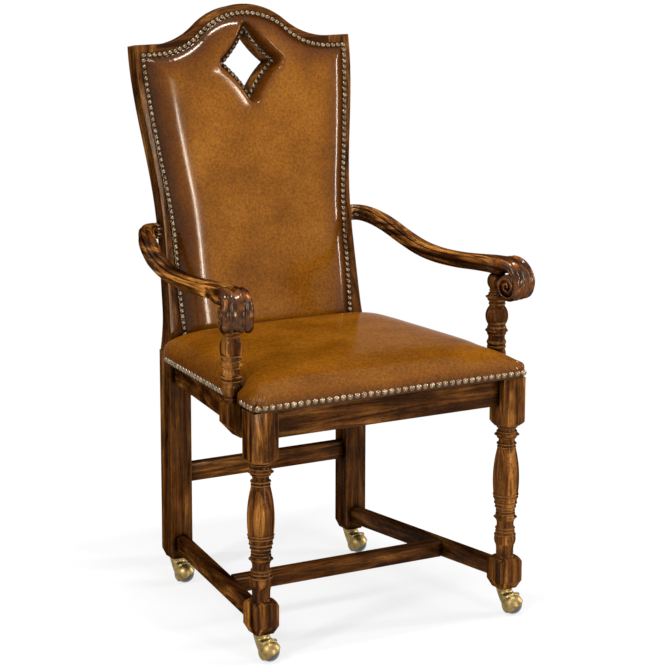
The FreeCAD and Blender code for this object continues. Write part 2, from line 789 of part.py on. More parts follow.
# Crest board, bottom rail, diamond liner

def bow_edges(half_width, bow_half, corner_v, peak_v):
    """Top outline from right to left: level ends, then a bow that swells to the peak."""
    quarter_x = bow_half / 2
    quarter_z = (peak_v - corner_v) / 2
    radius = (quarter_x ** 2 + quarter_z ** 2) / (2 * quarter_z)
    half_angle = math.atan2(quarter_z, quarter_x)
    start = Vector(bow_half, 0, corner_v)
    hollow = start + Vector(-radius * math.sin(half_angle), 0, radius * (1 - math.cos(half_angle)))
    turn = Vector(quarter_x, 0, corner_v + quarter_z)
    peak = Vector(0, 0, peak_v)
    left_turn = Vector(-turn.x, 0, turn.z)
    left_hollow = Vector(-hollow.x, 0, hollow.z)
    left_start = Vector(-start.x, 0, start.z)
    return [
        line(Vector(half_width, 0, corner_v), start),
        arc(start, hollow, turn),
        arc(turn, peak, left_turn),
        arc(left_turn, left_hollow, left_start),
        line(left_start, Vector(-half_width, 0, corner_v)),
    ]


def diamond(extra, w):
    """Outline of the diamond cut-out, made larger by extra, at depth w."""
    half_width = diamond_half_width + extra
    half_height = diamond_half_height + extra * diamond_half_height / diamond_half_width
    tips = [
        Vector(half_width, w, diamond_height),
        Vector(0, w, diamond_height + half_height),
        Vector(-half_width, w, diamond_height),
        Vector(0, w, diamond_height - half_height),
    ]
    edges = []
    for start, end in zip(tips, tips[1:] + tips[:1]):
        inward = (Vector(0, w, diamond_height) - (start + end) * 0.5).normalize()
        edges.append(bulged(start, end, diamond_hollow, inward))
    return Part.Wire(edges)


def diamond_prism(extra, w_front, w_rear):
    return Part.Face(diamond(extra, w_front)).extrude(Vector(0, w_rear - w_front, 0))


liner_front = -leather
liner_rear = stile_thickness + leather
liner_hole = diamond_prism(diamond_liner_wall, liner_front, liner_rear)
liner = liner_hole.cut(diamond_prism(0.0, liner_front, liner_rear))
pieces["diamond_liner"] = on_back(liner)

crest_half = crest_bow_half + stile_width / 2
crest_edges = bow_edges(crest_half, crest_bow_half, crest_corner_height, crest_peak_height)
crest_low_right = Vector(crest_half, 0, crest_board_bottom)
crest_low_left = Vector(-crest_half, 0, crest_board_bottom)
crest_edges.append(line(Vector(-crest_half, 0, crest_corner_height), crest_low_left))
crest_edges.append(line(crest_low_left, crest_low_right))
crest_edges.append(line(crest_low_right, Vector(crest_half, 0, crest_corner_height)))
crest_blank = on_back(Part.Face(Part.Wire(crest_edges)).extrude(Vector(0, stile_thickness, 0)))
crest_board = crest_blank.cut(right_post_blank).cut(mirrored(right_post_blank))
crest_board = crest_board.fuse([on_back(crest_tenon()), on_back(mirrored(crest_tenon()))]).removeSplitter()
pieces["crest_rail"] = crest_board.cut(board_pocket).cut(on_back(liner_hole))

rail_front_w = (stile_thickness - bottom_rail_thickness) / 2
bottom_rail_half = post_outer_x - stile_width / 2
bottom_rail = block(
    (-bottom_rail_half, bottom_rail_half),
    (0, rail_front_w + bottom_rail_thickness),
    (bottom_rail_low, bottom_rail_high),
)
bottom_rail = on_back(bottom_rail).cut(right_post_blank).cut(mirrored(right_post_blank))
bottom_rail = bottom_rail.fuse([on_back(bottom_rail_tenon()), on_back(mirrored(bottom_rail_tenon()))])
pieces["back_bottom_rail"] = bottom_rail.removeSplitter().cut(board_pocket)


# Upholstery of the back: crowned padding under leather that is nailed round the edge and the diamond

def panel_side(inset, bottom):
    """Points of the right nail line from the bottom to the top corner, moved inwards by inset."""
    corner_v = crest_corner_height - panel_corner_drop - inset
    points = [(post_outer_x + nail_line_bottom - inset, bottom + inset)]
    for share, offset in nail_line:
        height = share * crest_corner_height
        if height > bottom + inset + leather_margin:
            points.append((post_outer_x + offset - inset, height))
    points.append((post_outer_x + nail_line_corner - inset, corner_v))
    return [Vector(u, 0, v) for u, v in points]


def panel_outline(inset, bottom, w):
    right = panel_side(inset, bottom)
    left = [Vector(-point.x, 0, point.z) for point in right]
    edges = [curve(right)]
    peak_v = crest_peak_height - panel_peak_drop - inset
    edges += bow_edges(right[-1].x, crest_bow_half - inset, right[-1].z, peak_v)
    edges.append(curve(left[::-1]))
    edges.append(line(left[0], right[0]))
    wire = Part.Wire(edges)
    wire.translate(Vector(0, w, 0))
    return wire


def crown(profile, bottom, base_w, outward, shrink):
    """Padding swelling from base_w; shrink draws the whole form in, for what lies under the leather."""
    sections = []
    for height, inset in profile:
        reach = max(height - shrink, 0.0)
        sections.append(panel_outline(inset + shrink, bottom, base_w + outward * reach))
    return Part.makeLoft(sections, True, False)


def pit(widening):
    """Slope of the padding down to the diamond, widened for what lies under the leather."""
    deepest = 2 * leather + back_crown[-1][0]
    rim = diamond_liner_wall + diamond_nail_gap + diamond_nail_room + widening
    rings = [diamond(rim, leather), diamond(rim, -leather), diamond(rim + diamond_pit, -deepest)]
    return Part.makeLoft(rings, True, True)


def flat_panel(bottom, w_front):
    face = Part.Face(panel_outline(-leather_margin, bottom, w_front))
    return face.extrude(Vector(0, leather, 0))


front_margin = flat_panel(panel_bottom, -leather)
front_crown = crown(back_crown, panel_bottom, -leather, -1, 0.0).cut(pit(0.0))
front_cavity = crown(back_crown, panel_bottom, 0.0, -1, leather).cut(pit(leather))
front_leather = front_margin.fuse(front_crown).cut(front_cavity)
front_leather = front_leather.cut(diamond_prism(diamond_liner_wall + soft_gap, -2 * plank, plank))
pieces["back_leather_front"] = on_back(front_leather)
pad_inset = leather + pad_gap
back_pad = crown(back_crown, panel_bottom, -soft_gap, -1, pad_inset + soft_gap).cut(pit(pad_inset))
pieces["back_pad"] = on_back(back_pad)

rear_margin = flat_panel(rear_panel_bottom, stile_thickness)
rear_swell = crown(rear_crown, rear_panel_bottom, stile_thickness + leather, 1, 0.0)
rear_leather = rear_margin.fuse(rear_swell)
rear_leather = rear_leather.cut(diamond_prism(diamond_liner_wall + soft_gap, -2 * plank, 2 * plank))
pieces["back_leather_rear"] = on_back(rear_leather)


def nail(radius):
    """Domed nail: the head stands on z = 0 and the shank runs down."""
    shoulder = Vector(radius, 0, 0)
    crest = Vector(0, 0, nail_height)
    dome_middle = math.radians(50)
    flank = Vector(radius * math.sin(dome_middle), 0, nail_height * math.cos(dome_middle))
    shank = nail_shank_radius
    edges = [
        arc(crest, flank, shoulder),
        line(shoulder, Vector(shank, 0, 0)),
        line(Vector(shank, 0, 0), Vector(shank, 0, -nail_shank_length)),
        line(Vector(shank, 0, -nail_shank_length), Vector(0, 0, -nail_shank_length)),
        line(Vector(0, 0, -nail_shank_length), crest),
    ]
    return Part.Face(Part.Wire(edges)).revolve(Vector(0, 0, 0), UP, 360)


def spaced(wire, pitch):
    """Points along an open or closed wire, about a pitch apart."""
    count = max(2, round(wire.Length / pitch))
    if wire.isClosed():
        return wire.discretize(Number=count + 1)[:-1]
    return wire.discretize(Number=count + 1)


def nails_on(points, radius, outward):
    return [aimed(nail(radius), point, outward) for point in points]


def nail_path(bottom, w):
    right = panel_side(0.0, bottom)
    left = [Vector(-point.x, 0, point.z) for point in right]
    edges = [curve(right)]
    edges += bow_edges(right[-1].x, crest_bow_half, right[-1].z, crest_peak_height - panel_peak_drop)
    edges.append(curve(left[::-1]))
    wire = Part.Wire(edges)
    wire.translate(Vector(0, w, 0))
    return wire


first_nail_gap = back_nail_pitch / 2
front_path = nail_path(panel_bottom + first_nail_gap, -leather)
front_heads = nails_on(spaced(front_path, back_nail_pitch), back_nail_radius, Vector(0, -1, 0))
pieces["back_nails"] = on_back(Part.makeCompound(front_heads))

diamond_ring = diamond(diamond_liner_wall + diamond_nail_gap, -leather)
diamond_points = []
for side in diamond_ring.Edges:
    diamond_points += spaced(Part.Wire([side]), back_nail_pitch)[:-1]
diamond_heads = nails_on(diamond_points, back_nail_radius, Vector(0, -1, 0))
pieces["diamond_nails"] = on_back(Part.makeCompound(diamond_heads))

rear_path = nail_path(rear_panel_bottom + first_nail_gap, stile_thickness + leather)
rear_heads = nails_on(spaced(rear_path, back_nail_pitch), back_nail_radius, Vector(0, 1, 0))
pieces["rear_nails"] = on_back(Part.makeCompound(rear_heads))


# Seat: a wooden frame with webbing, a crowned pad and leather nailed round the frame's edge

def seat_outline(inset, drawn_in, height):
    """Four-sided outline with rounded corners; drawn_in pulls the middle of each side inwards."""
    corners = [
        Vector(seat_front_half - inset, seat_front_y + inset, height),
        Vector(seat_rear_half - inset, seat_rear_y - inset, height),
        Vector(-seat_rear_half + inset, seat_rear_y - inset, height),
        Vector(-seat_front_half + inset, seat_front_y + inset, height),
    ]
    middle = Vector(0, (seat_front_y + seat_rear_y) / 2, height)

    def side(start, end):
        inward = (middle - (start + end) * 0.5).normalize()
        return bulged(start, end, drawn_in, inward)

    radii = (seat_corner_radius, seat_rear_corner_radius, seat_rear_corner_radius, seat_corner_radius)
    return rounded(corners, radii, side)


def seat_form(shrink):
    """The whole seat from the lower edge of its leather to its crown, drawn in by shrink."""
    band = Part.Face(seat_outline(shrink, 0.0, seat_band_low)).extrude(UP * (seat_band_high - seat_band_low))
    sections = [seat_outline(shrink, 0.0, seat_band_high)]
    for rise, inset, drawn_in in seat_crown:
        sections.append(seat_outline(inset + shrink, drawn_in, seat_band_high + rise - shrink))
    return band.fuse(Part.makeLoft(sections, True, True)).removeSplitter()


def arm_post_notch(extra):
    """Room for the right arm post in the edge of the seat."""
    reach = arm_post_clear + extra
    return block(
        (arm_post_x - reach, 2 * arm_post_x),
        (arm_post_y - reach, arm_post_y + reach),
        (seat_rail_bottom, 2 * seat_rail_top),
    )


def notched(shape, extra):
    notch = arm_post_notch(extra)
    return shape.cut(notch).cut(mirrored(notch))


seat_shell = notched(seat_form(0.0), 0.0)
seat_cavity = notched(seat_form(leather), leather)
seat_cavity = seat_cavity.fuse(seat_cavity.copy().translated(UP * -leather))
soft_inset = leather + soft_gap
above_webbing = block((-leg_depth, leg_depth), (-leg_depth, leg_depth), (pad_bottom, 2 * seat_rail_top))
pieces["seat_pad"] = notched(seat_form(soft_inset), soft_inset).common(above_webbing)

frame_half_front = seat_front_half - soft_inset
frame_half_rear = seat_rear_half - soft_inset
frame_front_y = seat_front_y + soft_inset
frame_rear_y = seat_rear_y - soft_inset
tongue_x = post_inner_x - seat_tongue_gap
tongue_y = rear_rail_y + seat_rail_thickness
opening_front = frame_front_y + seat_frame_width
opening_rear = frame_rear_y - seat_frame_width
seat_opening_plan = (
    (-frame_half_front + seat_frame_width, opening_front),
    (frame_half_front - seat_frame_width, opening_front),
    (frame_half_rear - seat_frame_width, opening_rear),
    (-frame_half_rear + seat_frame_width, opening_rear),
)
seat_frame = Part.Face(seat_outline(soft_inset, 0.0, seat_rail_top)).extrude(UP * seat_frame_height)
seat_frame = notched(seat_frame, soft_inset)
seat_frame = seat_frame.cut(prism(seat_opening_plan, seat_rail_bottom, 2 * seat_rail_top))
rear_bar_lap = seat_frame_width / 2
seat_tongue = block(
    (-tongue_x, tongue_x), (frame_rear_y - rear_bar_lap, tongue_y), (seat_rail_top, seat_frame_top)
)
pieces["seat_frame"] = seat_frame.fuse(seat_tongue).removeSplitter()
pieces["seat_leather"] = seat_shell.cut(seat_cavity).cut(grown(seat_tongue, soft_gap))


def strap_places(low, high, count):
    step = (high - low) / count
    return [low + step * (index + 0.5) for index in range(count)]


straps = []
strap_half = webbing_width / 2
lap = seat_frame_width / 2
along_reach = frame_half_rear - seat_frame_width
for strap_x in strap_places(-along_reach, along_reach, webbing_count_along):
    straps.append(block(
        (strap_x - strap_half, strap_x + strap_half),
        (opening_front - lap, opening_rear + lap),
        (seat_frame_top, seat_frame_top + webbing_thickness),
    ))
across_low = seat_frame_top + webbing_thickness + soft_gap
for strap_y in strap_places(opening_front, opening_rear, webbing_count_across):
    straps.append(block(
        (-frame_half_rear + lap, frame_half_rear - lap),
        (strap_y - strap_half, strap_y + strap_half),
        (across_low, across_low + webbing_thickness),
    ))
pieces["seat_webbing"] = Part.makeCompound(straps)

cover_front_y = front_rail_y + seat_rail_thickness + dust_cover_gap
cover_rear_y = post_front_y - dust_cover_gap
cover_cut = corner_block_leg + dust_cover_gap
cover_right = (
    (side_rail_inner(cover_front_y) - dust_cover_gap - cover_cut, cover_front_y),
    (side_rail_inner(cover_front_y + cover_cut) - dust_cover_gap, cover_front_y + cover_cut),
    (side_rail_inner(cover_rear_y - cover_cut) - dust_cover_gap, cover_rear_y - cover_cut),
    (side_rail_inner(cover_rear_y) - dust_cover_gap - cover_cut, cover_rear_y),
)
dust_cover_plan = cover_right + tuple((-x, y) for x, y in reversed(cover_right))
pieces["seat_dust_cover"] = prism(dust_cover_plan, seat_rail_top - dust_cover_thickness, seat_rail_top)

block_zone = (seat_rail_top - corner_block_height, seat_rail_top)
front_inner_y = front_rail_y + seat_rail_thickness
front_block_plan = (
    (side_rail_front_x, front_inner_y),
    (side_rail_front_x - seat_rail_thickness - corner_block_leg, front_inner_y),
    (side_rail_front_x, front_inner_y + corner_block_leg + seat_rail_thickness),
)
rear_block_plan = (
    (side_rail_rear_x, rear_rail_y),
    (side_rail_rear_x, rear_rail_y - corner_block_leg - seat_rail_thickness),
    (side_rail_rear_x - seat_rail_thickness - corner_block_leg, rear_rail_y),
)
front_leg_square = block((leg_inner_x, leg_outer_x), (leg_front_y, leg_rear_y), block_zone)
rail_outside = side_rail_body.fuse(side_rail_body.translated(Vector(seat_rail_thickness, 0, 0)))


def corner_wedge(plan, leg):
    wedge = prism(plan, block_zone[0], block_zone[1]).cut(leg).cut(rail_outside)
    return largest(wedge)


front_wedge = corner_wedge(front_block_plan, front_leg_square)
rear_wedge = corner_wedge(rear_block_plan, right_post_blank)
corner_blocks = [front_wedge, mirrored(front_wedge), rear_wedge, mirrored(rear_wedge)]
pieces["seat_corner_blocks"] = Part.makeCompound(corner_blocks)

seat_nails = []
corner_turn = seat_corner_radius * 0.5
nail_front_right = Vector(seat_front_half - corner_turn, seat_front_y, seat_nail_height)
nail_front_left = Vector(-nail_front_right.x, seat_front_y, seat_nail_height)
front_line = Part.Wire([line(nail_front_left, nail_front_right)])
seat_nails += nails_on(spaced(front_line, seat_nail_pitch), seat_nail_radius, Vector(0, -1, 0))
side_start = Vector(seat_front_half, seat_front_y, seat_nail_height)
side_end = Vector(seat_rear_half, seat_rear_y, seat_nail_height)
side_run = (side_end - side_start).normalize()
side_out = Vector(-side_run.y, side_run.x, 0) * -1
side_line = Part.Wire([
    line(side_start + side_run * seat_corner_radius, side_end - side_run * seat_rear_corner_radius)
])
notch_reach = arm_post_clear + seat_nail_radius
side_points = [
    point for point in spaced(side_line, seat_nail_pitch) if abs(point.y - arm_post_y) > notch_reach
]
right_nails = nails_on(side_points, seat_nail_radius, side_out)
seat_nails += right_nails + [mirrored(head) for head in right_nails]
pieces["seat_nails"] = Part.makeCompound(seat_nails)


# Arm posts: a square foot lapped on the side rail, turned above it

def arm_post():
    half = arm_post_foot / 2
    clear = arm_post_foot
    stations = [(arm_post_bottom, clear, 0.0), (arm_post_foot_top, clear, 0.0)]
    turned_length = arm_post_top - arm_post_foot_top
    for share, radius, swell in arm_post_turning:
        stations.append((arm_post_foot_top + share * turned_length, radius, swell))
    inner_x = arm_post_x - half - arm_post_lap
    outer_x = arm_post_x + half
    slope_top = arm_post_bottom + arm_post_foot_slope
    bar_profile = [
        Vector(inner_x, 0, arm_post_bottom),
        Vector(arm_post_x - half + arm_post_foot_toe, 0, arm_post_bottom),
        Vector(outer_x, 0, slope_top),
        Vector(outer_x, 0, arm_post_top),
        Vector(inner_x, 0, arm_post_top),
    ]
    bar = Part.Face(Part.makePolygon(bar_profile + bar_profile[:1])).extrude(Vector(0, arm_post_foot, 0))
    bar.translate(Vector(0, arm_post_y - half, 0))
    body = bar.common(turned(arm_post_x, arm_post_y, stations))
    rail_tall = prism(side_rail_plan, arm_post_bottom, seat_rail_top)
    rail_inside = rail_tall.fuse(rail_tall.translated(Vector(-seat_rail_thickness, 0, 0)))
    body = largest(body.cut(rail_inside))
    tenon = Part.makeCylinder(arm_post_tenon_radius, arm_post_tenon_length, arm_post_head)
    return body.fuse(tenon).removeSplitter()


both_sides("arm_post", arm_post())


# Arms: a curved bar from the stile to a scroll hand over the arm post

def arm_section(centre, along, width, height):
    """Rounded section of the arm across its run."""
    across = along.cross(UP).normalize()
    rise = across.cross(along).normalize()
    radius = arm_corner * height
    half_w = width / 2
    half_h = height / 2
    signs = ((1, 1), (-1, 1), (-1, -1), (1, -1))
    corners = [centre + across * (a * half_w) + rise * (b * half_h) for a, b in signs]
    return rounded(corners, [radius] * len(corners), line)


def arm():
    joint = on_rake(arm_joint_depth, arm_joint_share * crest_corner_height)
    start = Vector(post_outer_x - arm_joint_inset, joint.y, joint.z)
    way = hand_centre + Vector(*arm_end_offset) - start
    centres = [start + way * share + Vector(swing, 0, rise) for share, swing, rise, width, height in arm_run]
    sections = []
    for index, (share, swing, rise, width, height) in enumerate(arm_run):
        before = centres[max(index - 1, 0)]
        after = centres[min(index + 1, len(centres) - 1)]
        sections.append(arm_section(centres[index], (after - before).normalize(), width, height))
    bar = Part.makeLoft(sections, True, False)
    return bar.fuse(scroll_hand()).removeSplitter()


def scroll_hand():
    splay = math.radians(hand_splay)
    forward = Vector(math.sin(splay), -math.cos(splay), 0)
    outward = Vector(math.cos(splay), math.sin(splay), 0)
    top = [hand_centre + forward * ahead + UP * rise for ahead, rise in hand_outline]
    under = [hand_centre + forward * ahead + UP * rise for ahead, rise in hand_underside]
    edges = [curve(top), line(top[-1], under[0]), line(under[0], under[1]), line(under[1], top[0])]
    hand = Part.Face(Part.Wire(edges)).extrude(outward * hand_width)
    hand.translate(outward * (-hand_width / 2))
    volute_width = hand_width + 2 * volute_proud
    volute_start = hand_centre - outward * (volute_width / 2)
    volute = Part.makeCylinder(volute_radius, volute_width, volute_start, outward)
    return hand.fuse(volute)


right_arm = arm().cut(right_post_blank).cut(pieces["right_arm_post"])
tenon_room = Part.makeCylinder(
    arm_post_tenon_radius + joint_gap, arm_post_tenon_length + joint_gap, arm_post_head
)
both_sides("arm", largest(right_arm.cut(tenon_room)))


# Screws: through the stile into the arm, through the side rail into the arm post, up into the seat frame

def screw(length):
    shank = Part.makeCylinder(screw_radius, length)
    return shank.fuse(Part.makeCylinder(screw_head_radius, screw_head_height)).removeSplitter()


arm_joint = on_rake(arm_screw_depth, arm_joint_share * crest_corner_height)
stile_waist = post_outer_x + min(flare for share, flare in stile_flare)
arm_screw_start = Vector(stile_waist - stile_width, arm_joint.y, arm_joint.z)
arm_screw = aimed(screw(arm_screw_length), arm_screw_start, Vector(1, 0, 0))
pieces["arm_screws"] = Part.makeCompound([arm_screw, mirrored(arm_screw)])

post_screws = []
for drop in post_screw_drops:
    start = Vector(side_rail_inner(arm_post_y) + screw_head_sink, arm_post_y, seat_rail_top - drop)
    fixing = aimed(screw(post_screw_length), start, Vector(1, 0, 0))
    post_screws += [fixing, mirrored(fixing)]
pieces["post_screws"] = Part.makeCompound(post_screws)

seat_screws = []
leg_corners = (Vector(leg_inner_x, leg_rear_y, 0), Vector(post_inner_x, post_front_y, 0))
for wedge, leg_corner in zip((front_wedge, rear_wedge), leg_corners):
    middle = wedge.CenterOfMass
    place = middle + (leg_corner - middle) * seat_screw_shift
    place.z = block_zone[0] - screw_head_height
    fixing = aimed(screw(seat_screw_length), place, UP)
    seat_screws += [fixing, mirrored(fixing)]
pieces["seat_screws"] = Part.makeCompound(seat_screws)


os.makedirs("parts", exist_ok=True)
for name, shape in pieces.items():
    shape.exportStep("parts/" + name + ".step")
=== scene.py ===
import math

import bpy
from mathutils import Matrix, Vector
from mathutils.kdtree import KDTree


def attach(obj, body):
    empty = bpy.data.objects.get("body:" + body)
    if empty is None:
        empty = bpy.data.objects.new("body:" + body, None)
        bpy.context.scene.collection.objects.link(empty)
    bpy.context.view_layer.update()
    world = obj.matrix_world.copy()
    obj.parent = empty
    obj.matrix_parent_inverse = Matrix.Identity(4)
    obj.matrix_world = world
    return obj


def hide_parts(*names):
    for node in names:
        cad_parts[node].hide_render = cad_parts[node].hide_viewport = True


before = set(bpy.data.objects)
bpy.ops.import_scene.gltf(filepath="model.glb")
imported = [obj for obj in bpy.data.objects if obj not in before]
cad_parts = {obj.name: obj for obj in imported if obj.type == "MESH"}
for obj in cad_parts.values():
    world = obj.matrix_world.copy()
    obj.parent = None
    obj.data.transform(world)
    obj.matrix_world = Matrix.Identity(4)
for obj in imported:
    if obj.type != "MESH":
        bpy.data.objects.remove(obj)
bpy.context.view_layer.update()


# Legs, posts, rails and stretchers
# Sawn and turned walnut, stained dark, rubbed back to gold where hands and feet reach it, then waxed.
# Mortise and tenon joints hold them together, and every arris is worn round.

def alone(piece):
    """Select one object and nothing else."""
    bpy.ops.object.select_all(action="DESELECT")
    piece.select_set(True)
    bpy.context.view_layer.objects.active = piece


def unselected(piece, kind):
    """Clear the selection inside a mesh, and select by vertex, edge or face from now on."""
    alone(piece)
    bpy.ops.object.mode_set(mode="EDIT")
    bpy.ops.mesh.select_mode(type=kind)
    bpy.ops.mesh.select_all(action="DESELECT")
    bpy.ops.object.mode_set(mode="OBJECT")


def applied(piece, modifier):
    """Turn a modifier into plain mesh."""
    alone(piece)
    bpy.ops.object.modifier_apply(modifier=modifier.name)


def copy_of(node, name, holed=False):
    """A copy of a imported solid, with its loose triangles merged into clean faces, cut in two where one has a hole."""
    piece = bpy.data.objects.new(name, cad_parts[node].data.copy())
    bpy.context.scene.collection.objects.link(piece)
    alone(piece)
    bpy.ops.mesh.customdata_custom_splitnormals_clear()
    bpy.ops.object.mode_set(mode="EDIT")
    bpy.ops.mesh.select_all(action="SELECT")
    bpy.ops.mesh.remove_doubles(threshold=0.00002)
    if holed:
        bpy.ops.mesh.bisect(plane_co=(0.0, 0.0, 0.0), plane_no=(1.0, 0.0, 0.0))
        bpy.ops.mesh.mark_seam()
        bpy.ops.mesh.select_all(action="SELECT")
    bpy.ops.mesh.dissolve_limited(angle_limit=math.radians(0.5), delimit={"SEAM"})
    bpy.ops.object.mode_set(mode="OBJECT")
    return piece


def eased(piece, width):
    """Round every sharp edge a little, and shade what is left smoothly."""
    bevel = piece.modifiers.new("worn_edges", "BEVEL")
    bevel.width = width
    bevel.segments = 3
    bevel.limit_method = "ANGLE"
    bevel.angle_limit = math.radians(35)
    applied(piece, bevel)
    bpy.ops.object.shade_smooth_by_angle(angle=math.radians(40))


def finished(piece, material, body, slot, *nodes):
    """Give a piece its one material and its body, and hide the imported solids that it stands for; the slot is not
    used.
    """
    piece.data.materials.clear()
    piece.data.materials.append(material)
    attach(piece, body)
    if nodes:
        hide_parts(*nodes)


def add(tree, kind, sockets=None, **settings):
    """A new shader node with some of its settings and socket values."""
    node = tree.nodes.new(kind)
    for key, value in settings.items():
        setattr(node, key, value)
    for key, value in (sockets or {}).items():
        node.inputs[key].default_value = value
    return node


def ramp(tree, source, stops):
    """Colour ramp on a value; stops are (position, colour)."""
    node = tree.nodes.new("ShaderNodeValToRGB")
    tree.links.new(source, node.inputs["Fac"])
    while len(node.color_ramp.elements) < len(stops):
        node.color_ramp.elements.new(0.5)
    for element, (position, colour) in zip(node.color_ramp.elements, stops):
        element.position = position
        element.color = (*colour, 1.0)
    return node.outputs["Color"]


def grey(value):
    return (value, value, value)


def mixed(tree, blend, factor, first, second):
    """Two colours blended; factor is a number or a socket."""
    node = tree.nodes.new("ShaderNodeMix")
    node.data_type = "RGBA"
    node.blend_type = blend
    if isinstance(factor, float):
        node.inputs["Factor"].default_value = factor
    else:
        tree.links.new(factor, node.inputs["Factor"])
    tree.links.new(first, node.inputs["A"])
    if isinstance(second, tuple):
        node.inputs["B"].default_value = (*second, 1.0)
    else:
        tree.links.new(second, node.inputs["B"])
    return node.outputs["Result"]


def noise_of(tree, vector, scale, detail, roughness=0.5, distortion=0.0):
    node = add(tree, "ShaderNodeTexNoise", {"Scale": scale, "Detail": detail, "Roughness": roughness,
                                            "Distortion": distortion})
    tree.links.new(vector, node.inputs["Vector"])
    return node.outputs["Fac"]


def shader_of(name):
    """A new material: its tree, its shader and its object coordinates."""
    material = bpy.data.materials.new(name)
    material.use_nodes = True
    tree = material.node_tree
    shader = tree.nodes["Principled BSDF"]
    place = tree.nodes.new("ShaderNodeTexCoord").outputs["Object"]
    return material, tree, shader, place


def bumped(tree, shader, height, strength, distance):
    bump = add(tree, "ShaderNodeBump", {"Strength": strength, "Distance": distance})
    tree.links.new(height, bump.inputs["Height"])
    tree.links.new(bump.outputs["Normal"], shader.inputs["Normal"])


def waxed(tree, shader, socket, level, edge_level=0.0):
    """Gloss that is full where a surface is seen squarely and dies away towards its outline, as on a waxed finish."""
    edge_on = add(tree, "ShaderNodeLayerWeight", {"Blend": 0.5})
    fade = add(tree, "ShaderNodeMapRange", {"From Min": 0.24, "From Max": 0.52, "To Min": level,
                                               "To Max": edge_level})
    tree.links.new(edge_on.outputs["Facing"], fade.inputs["Value"])
    tree.links.new(fade.outputs["Result"], shader.inputs[socket])


def walnut(name, grain, gold, wax=0.07, hands=False):
    """Stained walnut, with painted shade in its hollows; grain squeezes the figure along the piece, gold is its
    lightest tone, hands are left darker.
    """
    material, tree, shader, place = shader_of(name)
    along = add(tree, "ShaderNodeMapping", {"Scale": grain})
    tree.links.new(place, along.inputs["Vector"])
    along = along.outputs["Vector"]
    figure = noise_of(tree, along, 46.0, 6.0, 0.62, 0.9)
    colour = ramp(tree, figure, (
        (0.32, (0.008, 0.0024, 0.0007)),
        (0.44, (0.044, 0.0130, 0.0026)),
        (0.55, (0.044 + gold * 0.23, 0.0130 + gold * 0.084, 0.0026 + gold * 0.014)),
        (0.67, (gold, gold * 0.405, gold * 0.084)),
    ))
    pores = ramp(tree, noise_of(tree, along, 420.0, 3.0, 0.7), ((0.36, grey(0.35)), (0.52, grey(1.0))))
    colour = mixed(tree, "MULTIPLY", 0.8, colour, pores)
    stain = ramp(tree, noise_of(tree, place, 15.0, 4.0, 0.6), ((0.34, grey(0.45)), (0.66, grey(1.30))))
    colour = mixed(tree, "MULTIPLY", 0.85, colour, stain)
    specks = ramp(tree, noise_of(tree, place, 230.0, 2.0, 0.5), ((0.29, grey(0.18)), (0.36, grey(1.0))))
    colour = mixed(tree, "MULTIPLY", 0.8, colour, specks)
    edges = add(tree, "ShaderNodeAmbientOcclusion", {"Distance": 0.005}, samples=6, inside=True)
    worn = ramp(tree, edges.outputs["AO"], ((0.44, grey(1.0)), (0.78, grey(0.0))))
    patchy = ramp(tree, noise_of(tree, place, 42.0, 4.0, 0.7), ((0.38, grey(0.10)), (0.60, grey(0.95))))
    worn = mixed(tree, "MULTIPLY", 1.0, worn, patchy)
    colour = mixed(tree, "MIX", worn, colour, (0.185, 0.072, 0.018))
    # painted shade: ambient occlusion darkens the walnut's colour in grooves and hollows
    hollows = add(tree, "ShaderNodeAmbientOcclusion", {"Distance": 0.018}, samples=8)
    painted_shade = ramp(tree, hollows.outputs["AO"], ((0.45, grey(0.03)), (0.92, grey(1.0))))
    colour = mixed(tree, "MULTIPLY", 0.95, colour, painted_shade)
    if hands:
        parts = tree.nodes.new("ShaderNodeSeparateXYZ")
        tree.links.new(place, parts.inputs["Vector"])
        front = add(tree, "ShaderNodeMapRange", {"From Min": -0.225, "From Max": -0.270})
        tree.links.new(parts.outputs["Y"], front.inputs["Value"])
        colour = mixed(tree, "MULTIPLY", front.outputs["Result"], colour, (0.62, 0.50, 0.46))
    tree.links.new(colour, shader.inputs["Base Color"])
    gloss = ramp(tree, noise_of(tree, place, 60.0, 3.0, 0.6), ((0.3, grey(0.10)), (0.7, grey(0.24))))
    tree.links.new(gloss, shader.inputs["Roughness"])
    waxed(tree, shader, "Specular IOR Level", wax)
    shader.inputs["Specular Tint"].default_value = (1.0, 0.74, 0.52, 1.0)
    bumped(tree, shader, figure, 0.20, 0.0010)
    return material


walnut_turned = walnut("walnut_turned", (1.0, 1.0, 0.07), 0.40)
walnut_upright = walnut("walnut_upright", (1.0, 1.0, 0.07), 0.20)
walnut_across = walnut("walnut_across", (0.07, 1.0, 1.0), 0.22)
walnut_deep = walnut("walnut_deep", (1.0, 0.07, 1.0), 0.22)
# painted shade: a darker copy of the walnut for the liner sunk inside the diamond
walnut_painted_shade = walnut("walnut_painted_shade", (1.0, 1.0, 0.07), 0.06)
edge_wear = 0.0018              # how far the arrises are rounded
frame_wood = {
    "left_front_leg": walnut_turned,
    "right_front_leg": walnut_turned,
    "left_back_post": walnut_upright,
    "right_back_post": walnut_upright,
    "crest_rail": walnut_across,
    "back_bottom_rail": walnut_across,
    "front_seat_rail": walnut_across,
    "rear_seat_rail": walnut_across,
    "left_seat_rail": walnut_deep,
    "right_seat_rail": walnut_deep,
    "left_side_stretcher": walnut_deep,
    "right_side_stretcher": walnut_deep,
    "cross_stretcher": walnut_across,
    "rear_stretcher": walnut_across,
    "left_arm_post": walnut_turned,
    "right_arm_post": walnut_turned,
    "diamond_liner": walnut_painted_shade,
}
turnings = {                    # distance of the axis from the middle, its depth, and bead heights, in millimetres
    "front_leg": (285.0, -301.0, (401.0, 395.0, 385.5, 373.5, 360.0, 353.0, 252.0, 246.0, 234.0, 225.5, 217.0, 211.0,
                                  180.0, 173.0, 166.0)),
    "arm_post": (307.0, -224.0, (663.0, 656.5, 643.5, 635.0, 596.0, 586.5, 572.0, 555.0, 546.0, 510.0)),
}
bead = 0.0017                   # radius of a bead


